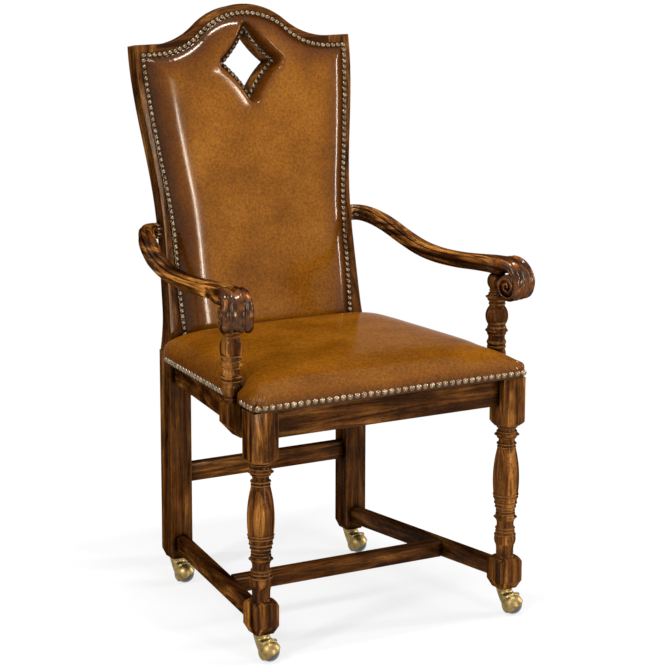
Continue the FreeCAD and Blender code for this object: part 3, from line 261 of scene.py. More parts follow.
def joined(pieces, name):
    """Make one object of several, under the first one's materials and a new name."""
    bpy.ops.object.select_all(action="DESELECT")
    for piece in pieces:
        piece.select_set(True)
    bpy.context.view_layer.objects.active = pieces[0]
    bpy.ops.object.join()
    pieces[0].name = name
    return pieces[0]


def beaded(piece, across, deep, heights):
    """Add fine beads round a turning, each half sunk in the wood."""
    rings = [piece]
    for height in heights:
        axis = Vector((across, deep, height)) / 1000.0
        outside = axis + Vector((0.1, 0.0, 0.0))
        place = piece.ray_cast(outside, Vector((-1.0, 0.0, 0.0)))[1]
        bpy.ops.object.select_all(action="DESELECT")
        bpy.ops.mesh.primitive_torus_add(location=axis, major_radius=place.x - axis.x, minor_radius=bead,
                                         major_segments=48, minor_segments=10)
        ring = bpy.context.active_object
        bpy.ops.object.transform_apply(location=True, rotation=True, scale=True)
        bpy.ops.object.shade_smooth()
        rings.append(ring)
    joined(rings, piece.name)


for node, grain in frame_wood.items():
    piece = copy_of(node, node + "_worn", holed=node in ("crest_rail", "diamond_liner"))
    eased(piece, edge_wear)
    side, kind = node.split("_", 1)
    if kind in turnings:
        across, deep, heights = turnings[kind]
        beaded(piece, across if side == "right" else -across, deep, heights)
    finished(piece, grain, "frame", "walnut", node)


# Arms
# Each is one curved bar of walnut with half-round reeds along its top, sprung from the side of the stile.
# Over the arm post it widens and rolls down into a scroll, whose turns show as a spiral on both cheeks.

reed_count = 4
arm_line = (                    # across, deep, high, width and thickness of the section, in millimetres
    (214.0, 257.0, 756.0, 32.0, 34.0),
    (238.0, 261.0, 757.0, 32.0, 34.0),
    (257.0, 251.0, 757.0, 33.0, 34.0),
    (270.0, 229.0, 753.5, 35.0, 34.0),
    (281.0, 200.0, 745.5, 37.0, 34.0),
    (289.0, 166.0, 734.5, 39.0, 34.0),
    (295.5, 122.0, 719.5, 40.0, 33.0),
    (298.5, 58.0, 706.0, 42.0, 32.0),
    (298.5, -12.0, 702.0, 44.0, 32.0),
    (299.5, -91.0, 705.0, 48.0, 32.0),
    (304.0, -150.0, 710.0, 53.0, 32.0),
    (311.0, -200.0, 714.0, 58.0, 34.0),
    (317.0, -232.0, 715.0, 60.0, 36.0),
)
hand_centre = Vector((321.0, -272.0, 682.0))
hand_splay = math.radians(17.0)
hand_forward = Vector((math.sin(hand_splay), -math.cos(hand_splay), 0.0))
hand_outward = Vector((math.cos(hand_splay), math.sin(hand_splay), 0.0))
hand_line = (                   # forward, up and outward from the middle of the scroll, width and thickness
    (-25.0, 39.0, 4.5, 61.0, 31.0),
    (-10.5, 39.0, 2.0, 62.0, 25.5),
    (3.5, 34.0, 0.5, 62.0, 20.5),
    (15.5, 22.0, 0.0, 62.0, 17.0),
    (21.5, 7.5, 0.0, 62.0, 15.0),
    (20.0, -8.0, 0.0, 62.0, 14.0),
    (15.0, -19.5, 0.0, 62.0, 13.0),
    (6.5, -25.5, 0.0, 62.0, 12.5),
    (-3.5, -27.0, 0.0, 62.0, 12.0),
    (-13.5, -23.5, 0.0, 62.0, 11.5),
    (-21.5, -14.5, 0.0, 62.4, 11.0),
    (-24.0, -2.0, 0.0, 62.8, 10.5),
    (-18.5, 9.0, 0.0, 63.2, 10.0),
    (-8.0, 14.5, 0.0, 63.6, 9.5),
    (4.0, 12.5, 0.0, 64.0, 9.0),
    (11.0, 4.0, 0.0, 64.5, 8.5),
    (10.0, -6.5, 0.0, 65.0, 8.0),
    (1.5, -12.0, 0.0, 65.5, 7.5),
    (-7.5, -7.5, 0.0, 66.0, 7.0),
    (-8.0, 1.0, 0.0, 66.5, 6.5),
    (-1.5, 4.5, 0.0, 67.0, 6.5),
    (2.5, 0.0, 0.0, 67.0, 6.0),
    (0.0, -2.5, 0.0, 67.0, 6.0),
)
arm_path = list(arm_line)
for ahead, up, out, width, thickness in hand_line:
    place = hand_centre + hand_forward * ahead + hand_outward * out + Vector((0.0, 0.0, up))
    arm_path.append((*place, width, thickness))


def through(points, share):
    """Point at a share of the way along a smooth curve through points of any number of values."""
    reach = min(max(share, 0.0), 1.0) * (len(points) - 1)
    index = min(int(reach), len(points) - 2)
    t = reach - index
    before = points[max(index - 1, 0)]
    here = points[index]
    there = points[index + 1]
    beyond = points[min(index + 2, len(points) - 1)]
    values = []
    for a, b, c, d in zip(before, here, there, beyond):
        values.append(0.5 * (2 * b + (c - a) * t + (2 * a - 5 * b + 4 * c - d) * t * t
                             + (3 * b - a - 3 * c + d) * t ** 3))
    return values


def tube(name, around, along, place):
    """A grid rolled into a closed tube: place gives the point at a share round and a share along."""
    bpy.ops.object.select_all(action="DESELECT")
    bpy.ops.mesh.primitive_grid_add(x_subdivisions=around, y_subdivisions=along, size=2.0)
    piece = bpy.context.active_object
    piece.name = name
    for vertex in piece.data.vertices:
        vertex.co = place((vertex.co.x + 1.0) / 2.0, (vertex.co.y + 1.0) / 2.0)
    bpy.ops.object.mode_set(mode="EDIT")
    bpy.ops.mesh.select_all(action="SELECT")
    bpy.ops.mesh.remove_doubles(threshold=0.00001)
    bpy.ops.mesh.select_all(action="DESELECT")
    bpy.ops.mesh.select_mode(type="EDGE")
    bpy.ops.mesh.select_non_manifold()
    bpy.ops.mesh.fill_holes(sides=0)
    bpy.ops.mesh.select_all(action="SELECT")
    bpy.ops.mesh.normals_make_consistent(inside=False)
    bpy.ops.object.mode_set(mode="OBJECT")
    return piece


def reed(q, depth):
    """How far the reeded surface lies under its envelope, q running from -1 to 1 across the reeds."""
    middle = (math.floor((q * 0.999 + 1.0) / 2.0 * reed_count) + 0.5) * 2.0 / reed_count - 1.0
    offset = (q - middle) * reed_count
    return depth * (1.0 - math.sqrt(max(0.0, 1.0 - offset * offset)))


def arm_station(share):
    """Middle, half width, half height, reed depth and share of hand of the arm's section at a share of its length."""
    x, y, z, width, thickness = through(arm_path, share)
    step = 0.002
    run = Vector(through(arm_path, share + step)[:3]) - Vector(through(arm_path, share - step)[:3])
    run.normalize()
    reach = share * (len(arm_path) - 1) - len(arm_line)
    hand = min(1.0, max(0.0, (reach + 4.5) / 4.5))
    across = run.cross(Vector((0.0, 0.0, 1.0))).normalized().lerp(-hand_outward, hand).normalized()
    rise = across.cross(run)
    carved = (5.0 + 1.6 * hand) * min(1.0, max(0.0, (11.5 - reach) / 2.0))
    return Vector((x, y, z)), across * (width / 2.0), rise * (thickness / 2.0), carved, hand


stations = {}


def arm_skin(share_round, share_along):
    key = round(share_along, 5)
    if key not in stations:
        stations[key] = arm_station(share_along)
    middle, across, rise, carved, hand = stations[key]
    squareness = 0.80 - 0.34 * hand
    turn = 2.0 * math.pi * share_round
    side = math.copysign(abs(math.cos(turn)) ** squareness, math.cos(turn))
    up = math.copysign(abs(math.sin(turn)) ** squareness, math.sin(turn))
    outward = across * side + rise * up
    point = middle + outward
    way = outward.normalized().lerp(rise.normalized(), hand)
    if up > 0.0:
        lobe = (1.0 - 2.0 * share_round * 2.0) * (1.0 - hand) + side * hand
        point -= way * (reed(lobe, carved) * min(1.0, 1.0 - hand + up * 2.0))
    else:
        lobe = (share_round - 0.5) * 4.0 - 1.0
        point -= outward.normalized() * (reed(lobe, carved) * (1.0 - hand))
    return point / 1000.0


bpy.ops.object.select_all(action="DESELECT")
bpy.ops.mesh.primitive_cylinder_add(vertices=64, radius=0.0235, depth=0.0565, location=hand_centre / 1000.0,
                                    rotation=(0.0, math.pi / 2.0, hand_splay))
scroll_core = bpy.context.active_object
bpy.ops.object.transform_apply(location=True, rotation=True, scale=True)
right_arm = joined([tube("arm_skin", 128, 300, arm_skin), scroll_core], "right_arm_carved")
alone(right_arm)
bpy.ops.object.shade_smooth()
left_arm = bpy.data.objects.new("left_arm_carved", right_arm.data.copy())
bpy.context.scene.collection.objects.link(left_arm)
for vertex in left_arm.data.vertices:
    vertex.co.x = -vertex.co.x
alone(left_arm)
bpy.ops.object.mode_set(mode="EDIT")
bpy.ops.mesh.select_all(action="SELECT")
bpy.ops.mesh.flip_normals()
bpy.ops.object.mode_set(mode="OBJECT")
walnut_arm = walnut("walnut_arm", (1.0, 0.07, 1.0), 0.60, wax=0.36, hands=True)
finished(right_arm, walnut_arm, "frame", "walnut", "right_arm")
finished(left_arm, walnut_arm, "frame", "walnut", "left_arm")


# Casters
# A cast brass hood, lacquered and a little tarnished, swivels on a steel stem and holds a black ball.
# The ball turns on a slanted brass axle that shows as a round head on the hood's back.

def brass(name, bright, dark, gloss):
    """Lacquered brass, darker where tarnish has gathered, with painted shade in its hollows."""
    material, tree, shader, place = shader_of(name)
    tarnish = noise_of(tree, place, 90.0, 4.0, 0.65)
    colour = ramp(tree, tarnish, ((0.32, dark), (0.62, bright)))
    # painted shade: ambient occlusion darkens the brass colour in its hollows
    hollows = add(tree, "ShaderNodeAmbientOcclusion", {"Distance": 0.006}, samples=6)
    painted_shade = ramp(tree, hollows.outputs["AO"], ((0.25, grey(0.25)), (0.75, grey(1.0))))
    colour = mixed(tree, "MULTIPLY", 0.8, colour, painted_shade)
    tree.links.new(colour, shader.inputs["Base Color"])
    shader.inputs["Metallic"].default_value = 1.0
    rough = ramp(tree, noise_of(tree, place, 160.0, 3.0), ((0.3, grey(gloss)), (0.7, grey(gloss + 0.14))))
    tree.links.new(rough, shader.inputs["Roughness"])
    bumped(tree, shader, noise_of(tree, place, 220.0, 2.0), 0.12, 0.0006)
    return material


def plain(name, colour, other, scale, roughness, metallic=0.0, coat=0.0):
    """A simple finish with a fine uneven tone."""
    material, tree, shader, place = shader_of(name)
    tone = ramp(tree, noise_of(tree, place, scale, 4.0, 0.6), ((0.3, colour), (0.7, other)))
    tree.links.new(tone, shader.inputs["Base Color"])
    shader.inputs["Roughness"].default_value = roughness
    shader.inputs["Metallic"].default_value = metallic
    shader.inputs["Coat Weight"].default_value = coat
    bumped(tree, shader, noise_of(tree, place, scale * 3.0, 3.0), 0.15, 0.0004)
    return material


caster_brass = brass("caster_brass", (0.33, 0.235, 0.090), (0.14, 0.092, 0.032), 0.34)
black_ball = plain("black_ball", (0.010, 0.010, 0.011), (0.022, 0.021, 0.020), 120.0, 0.22, coat=0.6)
steel = plain("steel", (0.32, 0.32, 0.33), (0.46, 0.46, 0.46), 200.0, 0.35, metallic=1.0)
hood_voxel = 0.0008
hood_polish = 14                # rounds of smoothing
turned_edge = 0.0004
for corner in ("front_left", "front_right", "rear_left", "rear_right"):
    caster = corner + "_caster"
    hood = copy_of(caster + "_hood", caster + "_hood_cast")
    cast = hood.modifiers.new("cast", "REMESH")
    cast.mode = "VOXEL"
    cast.voxel_size = hood_voxel
    applied(hood, cast)
    polish = hood.modifiers.new("polish", "SMOOTH")
    polish.factor = 0.5
    polish.iterations = hood_polish
    applied(hood, polish)
    bpy.ops.object.shade_smooth()
    finished(hood, caster_brass, caster, "caster_brass", caster + "_hood")
    axle = copy_of(caster + "_axle", caster + "_axle_turned")
    eased(axle, 0.0005)
    finished(axle, caster_brass, caster, "caster_brass", caster + "_axle")
    stem = copy_of(caster + "_stem", caster + "_stem_turned")
    eased(stem, turned_edge)
    finished(stem, steel, caster, "steel", caster + "_stem")
    ball = copy_of(caster + "_ball", caster + "_ball_turned")
    eased(ball, turned_edge)
    finished(ball, black_ball, corner + "_ball", "black_ball", caster + "_ball")


# Hidden joinery and seat deck
# Raw poplar blocks and board, a seat frame stained where it shows behind, jute webbing, dust cloth, steel fixings.
# They are glued, tacked or screwed inside the rails and only show from below or behind.

raw_wood = plain("raw_wood", (0.42, 0.27, 0.14), (0.60, 0.42, 0.24), 40.0, 0.65)
jute = plain("jute", (0.30, 0.21, 0.11), (0.46, 0.34, 0.19), 500.0, 0.9)
dust_cloth = plain("dust_cloth", (0.012, 0.012, 0.013), (0.030, 0.030, 0.031), 700.0, 0.95)
hidden = {
    "seat_frame": (walnut_across, "plain_wood"),
    "seat_corner_blocks": (raw_wood, "plain_wood"),
    "back_panel_board": (raw_wood, "plain_wood"),
    "seat_webbing": (jute, "webbing"),
    "seat_dust_cover": (dust_cloth, "dust_cloth"),
    "arm_screws": (steel, "steel"),
    "post_screws": (steel, "steel"),
    "seat_screws": (steel, "steel"),
    "caster_sockets": (steel, "steel"),
}
for node, (material, slot) in hidden.items():
    piece = copy_of(node, node + "_fitted", holed=node == "seat_frame")
    eased(piece, 0.0003)
    finished(piece, material, "frame", slot, node)


# Nails
# Domed antique brass nails, set edge to edge in the leather of the seat, the back and the diamond.
# Each is a head with a pin, driven through the leather into the wood.

def shells_of(piece):
    """The separate shells of a mesh, as lists of vertices."""
    parent = list(range(len(piece.data.vertices)))

    def root(index):
        while parent[index] != index:
            parent[index] = parent[parent[index]]
            index = parent[index]
        return index

    for edge in piece.data.edges:
        parent[root(edge.vertices[0])] = root(edge.vertices[1])
    shells = {}
    for vertex in piece.data.vertices:
        shells.setdefault(root(vertex.index), []).append(vertex)
    return list(shells.values())


nail_tones = {                  # the seat's nails are the brightest; the diamond's darkest tone is painted shade for the hollow they sit in
    "seat_nails": brass("seat_nail_brass", (0.30, 0.225, 0.135), (0.080, 0.052, 0.028), 0.24),
    "back_nails": brass("back_nail_brass", (0.20, 0.145, 0.085), (0.050, 0.032, 0.018), 0.26),
    # painted shade: the diamond's nails are darkened for the hollow they sit in
    "diamond_nails": brass("diamond_nail_brass_painted_shade", (0.14, 0.098, 0.056), (0.036, 0.023, 0.013), 0.28),
    "rear_nails": brass("rear_nail_brass", (0.20, 0.145, 0.085), (0.050, 0.032, 0.018), 0.26),
}
head_growth = 1.2               # the hammered heads spread this much
nail_places = {}
for node, tone in nail_tones.items():
    piece = copy_of(node, node + "_driven")
    nail_places[node] = []
    for nail in shells_of(piece):
        middle = sum((vertex.co for vertex in nail), Vector()) / len(nail)
        nail_places[node].append(middle)
        for vertex in nail:
            vertex.co = middle + (vertex.co - middle) * head_growth
    alone(piece)
    bpy.ops.object.shade_smooth_by_angle(angle=math.radians(50))
    finished(piece, tone, "frame", "nail_brass", node)


# Back leather
# Glossy saddle leather drawn over a crowned pad and nailed round its edge and round the diamond.
# The pad swells quickly inside the nails, so the leather turns a bright shoulder all the way round.

def leather(name):
    """Hand-stained saddle leather: mottled tan, darker where a point attribute says so, beside the nails and on the
    seat's low slopes: partly stain, partly painted shade.
    """
    material, tree, shader, place = shader_of(name)
    cloudy = ramp(tree, noise_of(tree, place, 9.0, 5.0, 0.62), (
        (0.30, (0.128, 0.0395, 0.0019)),
        (0.52, (0.182, 0.0598, 0.0034)),
        (0.74, (0.226, 0.0810, 0.0066)),
    ))
    mottle = ramp(tree, noise_of(tree, place, 190.0, 4.0, 0.7), ((0.32, grey(0.50)), (0.68, grey(1.26))))
    colour = mixed(tree, "MULTIPLY", 0.85, cloudy, mottle)
    stain_and_shade = tree.nodes.new("ShaderNodeAttribute")
    stain_and_shade.attribute_name = "stain_and_shade"
    # partly stain, partly painted shade: the attribute darkens the leather to a dim purplish brown
    shade = ramp(tree, stain_and_shade.outputs["Fac"], (
        (0.0, (0.20, 0.15, 0.14)),
        (0.35, (0.52, 0.44, 0.42)),
        (1.0, grey(1.0)),
    ))
    colour = mixed(tree, "MULTIPLY", 1.0, colour, shade)
    tree.links.new(colour, shader.inputs["Base Color"])
    worn = ramp(tree, noise_of(tree, place, 30.0, 4.0, 0.6), ((0.3, grey(0.11)), (0.7, grey(0.18))))
    tree.links.new(worn, shader.inputs["Roughness"])
    waxed(tree, shader, "Specular IOR Level", 0.19, 0.002)
    shader.inputs["Specular Tint"].default_value = (1.0, 0.80, 0.58, 1.0)
    waxed(tree, shader, "Coat Weight", 0.17)
    shader.inputs["Coat Roughness"].default_value = 0.08
    shader.inputs["Coat IOR"].default_value = 1.38
    grain = add(tree, "ShaderNodeTexVoronoi", {"Scale": 620.0})
    tree.links.new(place, grain.inputs["Vector"])
    bumped(tree, shader, grain.outputs["Distance"], 0.10, 0.0004)
    return material


back_foot = Vector((0.0, 0.1885, 0.507))
back_rake = math.radians(10.1)
back_up = Vector((0.0, math.sin(back_rake), math.cos(back_rake)))
back_behind = Vector((0.0, math.cos(back_rake), -math.sin(back_rake)))
leather_thick = 0.002
panel_margin = 0.006            # leather outside the nails
panel_corner = 0.624            # height of the nails at the top corners, along the rake
panel_peak = 0.703              # height of the nails at the top of the crest
bow_half = 0.206                # half width of the curved part of the crest
nail_side = ((0.030, 0.200), (0.116, 0.203), (0.285, 0.206), (0.432, 0.223), (0.523, 0.233), (0.624, 0.240))
diamond_height = 0.599
diamond_half_width = 0.055
diamond_half_height = 0.066
diamond_hollow = 0.095          # how far its sides bend in, as a share of their distance from its middle
diamond_nail_level = 1.116      # where its nails stand
pinch_ridge = 0.20              # how far the padding bulges over its height beside those nails
diamond_hole_level = 1.02       # edge of the leather, inside the wall of the diamond's liner
nail_grip = 0.0045              # leather held flat beside the nails
diamond_grip = 0.0050           # the same beside the diamond's nails
diamond_rise = 0.015            # how far from them the padding is back at its height
ridge_reach = 0.009             # how far from them it bulges most
scallop_depth = 0.0012          # how far the leather draws out between two nails
scallop_pitch = 0.006
scallop_reach = 0.010
foot_reach = 0.006              # how fast the padding rises from the bottom rail
edge_stain_and_shade = 0.070              # width of the darker band along the nails: partly stain, partly painted shade
diamond_stain_and_shade = 0.024           # the same round the diamond


def on_back(across, depth, height):
    return back_foot + Vector((across, 0.0, 0.0)) + back_behind * depth + back_up * height


def half_at(height):
    """Half the width between the nail lines at a height along the rake."""
    for (low, half_low), (high, half_high) in zip(nail_side, nail_side[1:]):
        if height <= high or high == nail_side[-1][0]:
            t = min(max((height - low) / (high - low), 0.0), 1.0)
            break
    index = nail_side.index((low, half_low))
    halves = [(half,) for level, half in nail_side]
    return through(halves, (index + t) / (len(nail_side) - 1))[0]


def bow(across, corner, peak):
    """Height of the bowed top edge: two equal arcs on either side, level beyond them."""
    side = abs(across)
    if side >= bow_half:
        return corner
    quarter = bow_half / 2.0
    rise = (peak - corner) / 2.0
    radius = (quarter ** 2 + rise ** 2) / (2.0 * rise)
    if side > quarter:
        return corner + radius - math.sqrt(radius ** 2 - (bow_half - side) ** 2)
    return peak - radius + math.sqrt(radius ** 2 - side ** 2)


def diamond_level(across, height):
    """One on the edge of the diamond hole, more outside it, in shares of its size."""
    a = abs(across) / diamond_half_width
    b = abs(height - diamond_height) / diamond_half_height
    size = a + b
    t = a / max(size, 0.0001)
    return size / (1.0 - diamond_hollow * 4.0 * t * (1.0 - t))


def search_tree(points):
    """Points sorted so that the nearest to a place is found quickly."""
    tree = KDTree(len(points))
    for index, point in enumerate(points):
        tree.insert(point, index)
    tree.balance()
    return tree


def nail_tree(bottom):
    """The nail line of a panel as a search tree of close points in the plane of the back."""
    points = []
    steps = 400
    for step in range(steps + 1):
        height = bottom + (panel_corner - bottom) * step / steps
        points += [(half_at(height), height), (-half_at(height), height)]
        across = half_at(panel_corner) * (2.0 * step / steps - 1.0)
        points.append((across, bow(across, panel_corner, panel_peak)))
    return search_tree([(across, height, 0.0) for across, height in points])


def diamond_line(level):
    """Close points on the diamond at a level."""
    points = []
    steps = 60
    for step in range(steps):
        t = step / steps
        size = level * (1.0 - diamond_hollow * 4.0 * t * (1.0 - t))
        a = t * size * diamond_half_width
        b = (1.0 - t) * size * diamond_half_height
        points += [(x, diamond_height + y, 0.0) for x, y in ((a, b), (a, -b), (-a, b), (-a, -b))]
    return points


def panel(name, bottom, base_depth, outward, swell, shoulder, columns, rows, node):
    """Leather over one face of the back, as a grid fitted to the nail line with the diamond left open."""
    nails = nail_tree(bottom)
    flat = [place - back_foot for place in nail_places[node]]
    heads = search_tree([(place.x, place.dot(back_up), 0.0) for place in flat])
    pinched = search_tree(diamond_line(diamond_nail_level))
    bpy.ops.object.select_all(action="DESELECT")
    bpy.ops.mesh.primitive_grid_add(x_subdivisions=columns, y_subdivisions=rows, size=2.0)
    piece = bpy.context.active_object
    piece.name = name
    low = bottom - panel_margin
    hole_level = diamond_hole_level
    stain_and_shade_amounts = []
    lost = []
    for vertex in piece.data.vertices:
        s = vertex.co.x
        t = (vertex.co.y + 1.0) / 2.0
        top = bow(s * (half_at(panel_corner) + panel_margin), panel_corner, panel_peak) + panel_margin
        height = low + t * (top - low)
        across = s * (half_at(height) + panel_margin)
        level = diamond_level(across, height)
        if level < hole_level:
            lost.append(level < 0.94 * hole_level)
            across *= hole_level / level
            height = diamond_height + (height - diamond_height) * hole_level / level
            level = hole_level
        else:
            lost.append(False)
        nearest = nails.find((across, height, 0.0))[2]
        inside = abs(across) < half_at(height) and height < bow(across, panel_corner, panel_peak)
        beside = math.sqrt(max(heads.find((across, height, 0.0))[2] ** 2 - nearest ** 2, 0.0))
        scallop = scallop_depth * min(1.0, beside / scallop_pitch) ** 2 * math.exp(-nearest / scallop_reach)
        reach = nearest - nail_grip + scallop if inside else 0.0
        edge = 1.0 - math.exp(-max(reach, 0.0) / shoulder)
        foot = 1.0 - math.exp(-max(height - bottom, 0.0) / foot_reach)
        rim = pinched.find((across, height, 0.0))[2] - diamond_grip if level > diamond_nail_level else 0.0
        rim = max(rim, 0.0)
        pit = math.sin(math.pi / 2.0 * min(1.0, rim / diamond_rise))
        ridge = pinch_ridge * swell * rim / ridge_reach * math.exp(1.0 - rim / ridge_reach)
        lift = swell * edge * foot * pit + ridge * edge
        vertex.co = on_back(across, base_depth + outward * (leather_thick + lift), height)
        # darker band beside the nails and round the diamond's pinched hollow: partly stain, partly painted shade
        stain_and_shade_amounts.append(min(1.0, max(reach, 0.0) / edge_stain_and_shade, rim / diamond_stain_and_shade))
    attribute = piece.data.attributes.new("stain_and_shade", "FLOAT", "POINT")
    attribute.data.foreach_set("value", stain_and_shade_amounts)
    unselected(piece, "VERT")
    for vertex, flag in zip(piece.data.vertices, lost):
        vertex.select = flag
    bpy.ops.object.mode_set(mode="EDIT")
    bpy.ops.mesh.delete(type="VERT")
    bpy.ops.mesh.select_all(action="SELECT")
    if outward > 0.0:
        bpy.ops.mesh.flip_normals()
    bpy.ops.object.mode_set(mode="OBJECT")
    return piece


def covered(piece, thickness):
    """Give a sheet of leather its thickness on the hidden side, and smooth it."""
    solid = piece.modifiers.new("thickness", "SOLIDIFY")
    solid.thickness = thickness
    solid.offset = -1.0
    applied(piece, solid)
    smooth = piece.modifiers.new("smooth", "SUBSURF")
    smooth.levels = 1
    smooth.render_levels = 1
    applied(piece, smooth)
    bpy.ops.object.shade_smooth()


saddle_leather = leather("saddle_leather")
back_front = panel("back_front_leather", 0.030, 0.0, -1.0, 0.024, 0.018, 140, 206, "back_nails")
covered(back_front, leather_thick * 0.8)
finished(back_front, saddle_leather, "frame", "saddle_leather", "back_leather_front", "back_pad")

back_rear = panel("back_rear_leather", 0.104, 0.036, 1.0, 0.004, 0.020, 100, 140, "rear_nails")
covered(back_rear, leather_thick * 0.8)
finished(back_rear, saddle_leather, "frame", "saddle_leather", "back_leather_rear")


# Seat
# A crowned pad on the webbed frame under one hide, drawn down and nailed along the rails.
# It is cut round the arm posts and pleated at the front corners.

seat_front_half = 0.3145
seat_rear_half = 0.2725
seat_front_y = -0.3305
seat_rear_y = 0.1875
seat_low = 0.5012
seat_band = 0.528
seat_crown = 0.039              # height of the padding over the band
seat_nails_high = 0.511
seat_corners = {-1.0: 0.018, 1.0: 0.058}        # radius of the front and rear corners
post_x = 0.307
post_y = -0.224
post_room = 0.020
side_roll = 0.034               # how far in from each edge the padding rises
front_roll = 0.032
rear_roll = 0.020
post_roll = 0.012
pleat_reach = 0.030             # size of the gathered corner
seat_voxel = 0.0042
nail_dent = 0.0014
nail_dent_reach = 0.006
seat_stain_and_shade = 0.046              # height of the darker band over the nails: partly stain, partly painted shade


def seat_side(y):
    """Half the width of the seat at a depth."""
    share = (y - seat_front_y) / (seat_rear_y - seat_front_y)
    return seat_front_half + share * (seat_rear_half - seat_front_half)


def swelling(inset, reach):
    """Share of the full height at an inset from an edge."""
    return 1.0 - math.exp(-max(inset, 0.0) / reach)


def padding(point):
    """Share of the crown under a point: low along the edges, lower at the corners and drawn in round the posts."""
    lean = math.atan2(seat_front_half - seat_rear_half, seat_rear_y - seat_front_y)
    side = swelling((seat_side(point.y) - abs(point.x)) * math.cos(lean), side_roll)
    front = swelling(point.y - seat_front_y, front_roll)
    rear = swelling(seat_rear_y - point.y, rear_roll)
    post = math.hypot(abs(point.x) - post_x, point.y - post_y) - post_room
    return side * front * rear * (0.45 + 0.55 * swelling(post, post_roll))


def pleats(point):
    """Folds where the leather is gathered round a front corner, in metres outwards."""
    round_x = seat_side(seat_front_y) - pleat_reach - abs(point.x)
    round_y = point.y - seat_front_y - pleat_reach
    if round_x > 0.0 or round_y > 0.0 or point.z < seat_nails_high:
        return 0.0
    angle = math.degrees(math.atan2(-round_y, -round_x))
    depth = 0.0
    for fold, deep in ((22.0, 0.0026), (46.0, 0.0046), (69.0, 0.0028)):
        depth -= deep * math.exp(-((angle - fold) / 6.0) ** 2)
        depth += deep * 0.5 * math.exp(-((angle - fold - 11.0) / 6.0) ** 2)
    return depth * min(1.0, math.hypot(round_x, round_y) / 0.024)


bpy.ops.object.select_all(action="DESELECT")
bpy.ops.mesh.primitive_cube_add(size=2.0)
seat = bpy.context.active_object
seat.name = "seat_leather_cover"
for vertex in seat.data.vertices:
    y = seat_front_y if vertex.co.y < 0.0 else seat_rear_y
    x = math.copysign(seat_side(y), vertex.co.x)
    vertex.co = Vector((x, y, seat_low if vertex.co.z < 0.0 else seat_band))
for end, radius in seat_corners.items():
    unselected(seat, "EDGE")
    for edge in seat.data.edges:
        ends = [seat.data.vertices[index].co for index in edge.vertices]
        middle = (ends[0].y + ends[1].y) / 2.0
        edge.select = abs(ends[0].z - ends[1].z) > 0.01 and middle * end > 0.0
    bpy.ops.object.mode_set(mode="EDIT")
    bpy.ops.mesh.bevel(offset=radius, segments=7, affect="EDGES")
    bpy.ops.object.mode_set(mode="OBJECT")
for side in (-1.0, 1.0):
    bpy.ops.mesh.primitive_cylinder_add(vertices=32, radius=post_room, depth=0.2,
                                        location=(side * post_x, post_y, seat_band))
    room = bpy.context.active_object
    notch = seat.modifiers.new("notch", "BOOLEAN")
    notch.object = room
    notch.operation = "DIFFERENCE"
    applied(seat, notch)
    bpy.data.objects.remove(room)
fill = seat.modifiers.new("pad", "REMESH")
fill.mode = "VOXEL"
fill.voxel_size = seat_voxel
applied(seat, fill)
crowned = []
for vertex in seat.data.vertices:
    upper = min(1.0, max(0.0, (vertex.co.z - seat_nails_high - 0.004) / (seat_band - seat_nails_high - 0.004)))
    vertex.co.z += upper * seat_crown * padding(vertex.co)
    if upper > 0.0:
        crowned.append(vertex.index)
soft = seat.vertex_groups.new(name="soft")
soft.add(crowned, 1.0, "REPLACE")
relax = seat.modifiers.new("relax", "SMOOTH")
relax.factor = 0.5
relax.iterations = 5
relax.vertex_group = "soft"
applied(seat, relax)
unselected(seat, "FACE")
for face in seat.data.polygons:
    face.select = face.normal.z < -0.7 and face.center.z < seat_low + 0.003
bpy.ops.object.mode_set(mode="EDIT")
bpy.ops.mesh.delete(type="FACE")
bpy.ops.object.mode_set(mode="OBJECT")
smooth = seat.modifiers.new("smooth", "SUBSURF")
smooth.levels = 1
smooth.render_levels = 1
applied(seat, smooth)
seat_heads = search_tree(nail_places["seat_nails"])
facing = [vertex.normal.copy() for vertex in seat.data.vertices]
stain_and_shade_amounts = []
for vertex, way in zip(seat.data.vertices, facing):
    offset = vertex.co - seat_heads.find(vertex.co)[0]
    offset -= way * offset.dot(way)
    drawn = nail_dent * math.exp(-(offset.length / nail_dent_reach) ** 2) if vertex.co.z < seat_band else 0.0
    # darker on the low slopes of the pad and towards the nails: painted shade, partly stain
    stain_and_shade_amounts.append(min(1.0, 0.66 + 0.34 * padding(vertex.co), max(0.0, (vertex.co.z - seat_low) / seat_stain_and_shade)))
    vertex.co += way * (pleats(vertex.co) - drawn)
attribute = seat.data.attributes.new("stain_and_shade", "FLOAT", "POINT")
attribute.data.foreach_set("value", stain_and_shade_amounts)
alone(seat)
bpy.ops.object.shade_smooth()
finished(seat, saddle_leather, "frame", "saddle_leather", "seat_leather", "seat_pad")


# Studio
# A white floor, soft boxes above and around, and a camera where the photograph was taken.
# The floor brightens to pure white away from the chair and keeps the shadow under it.
# The background is white both to the eye and in reflections, and lights the chair only dimly.

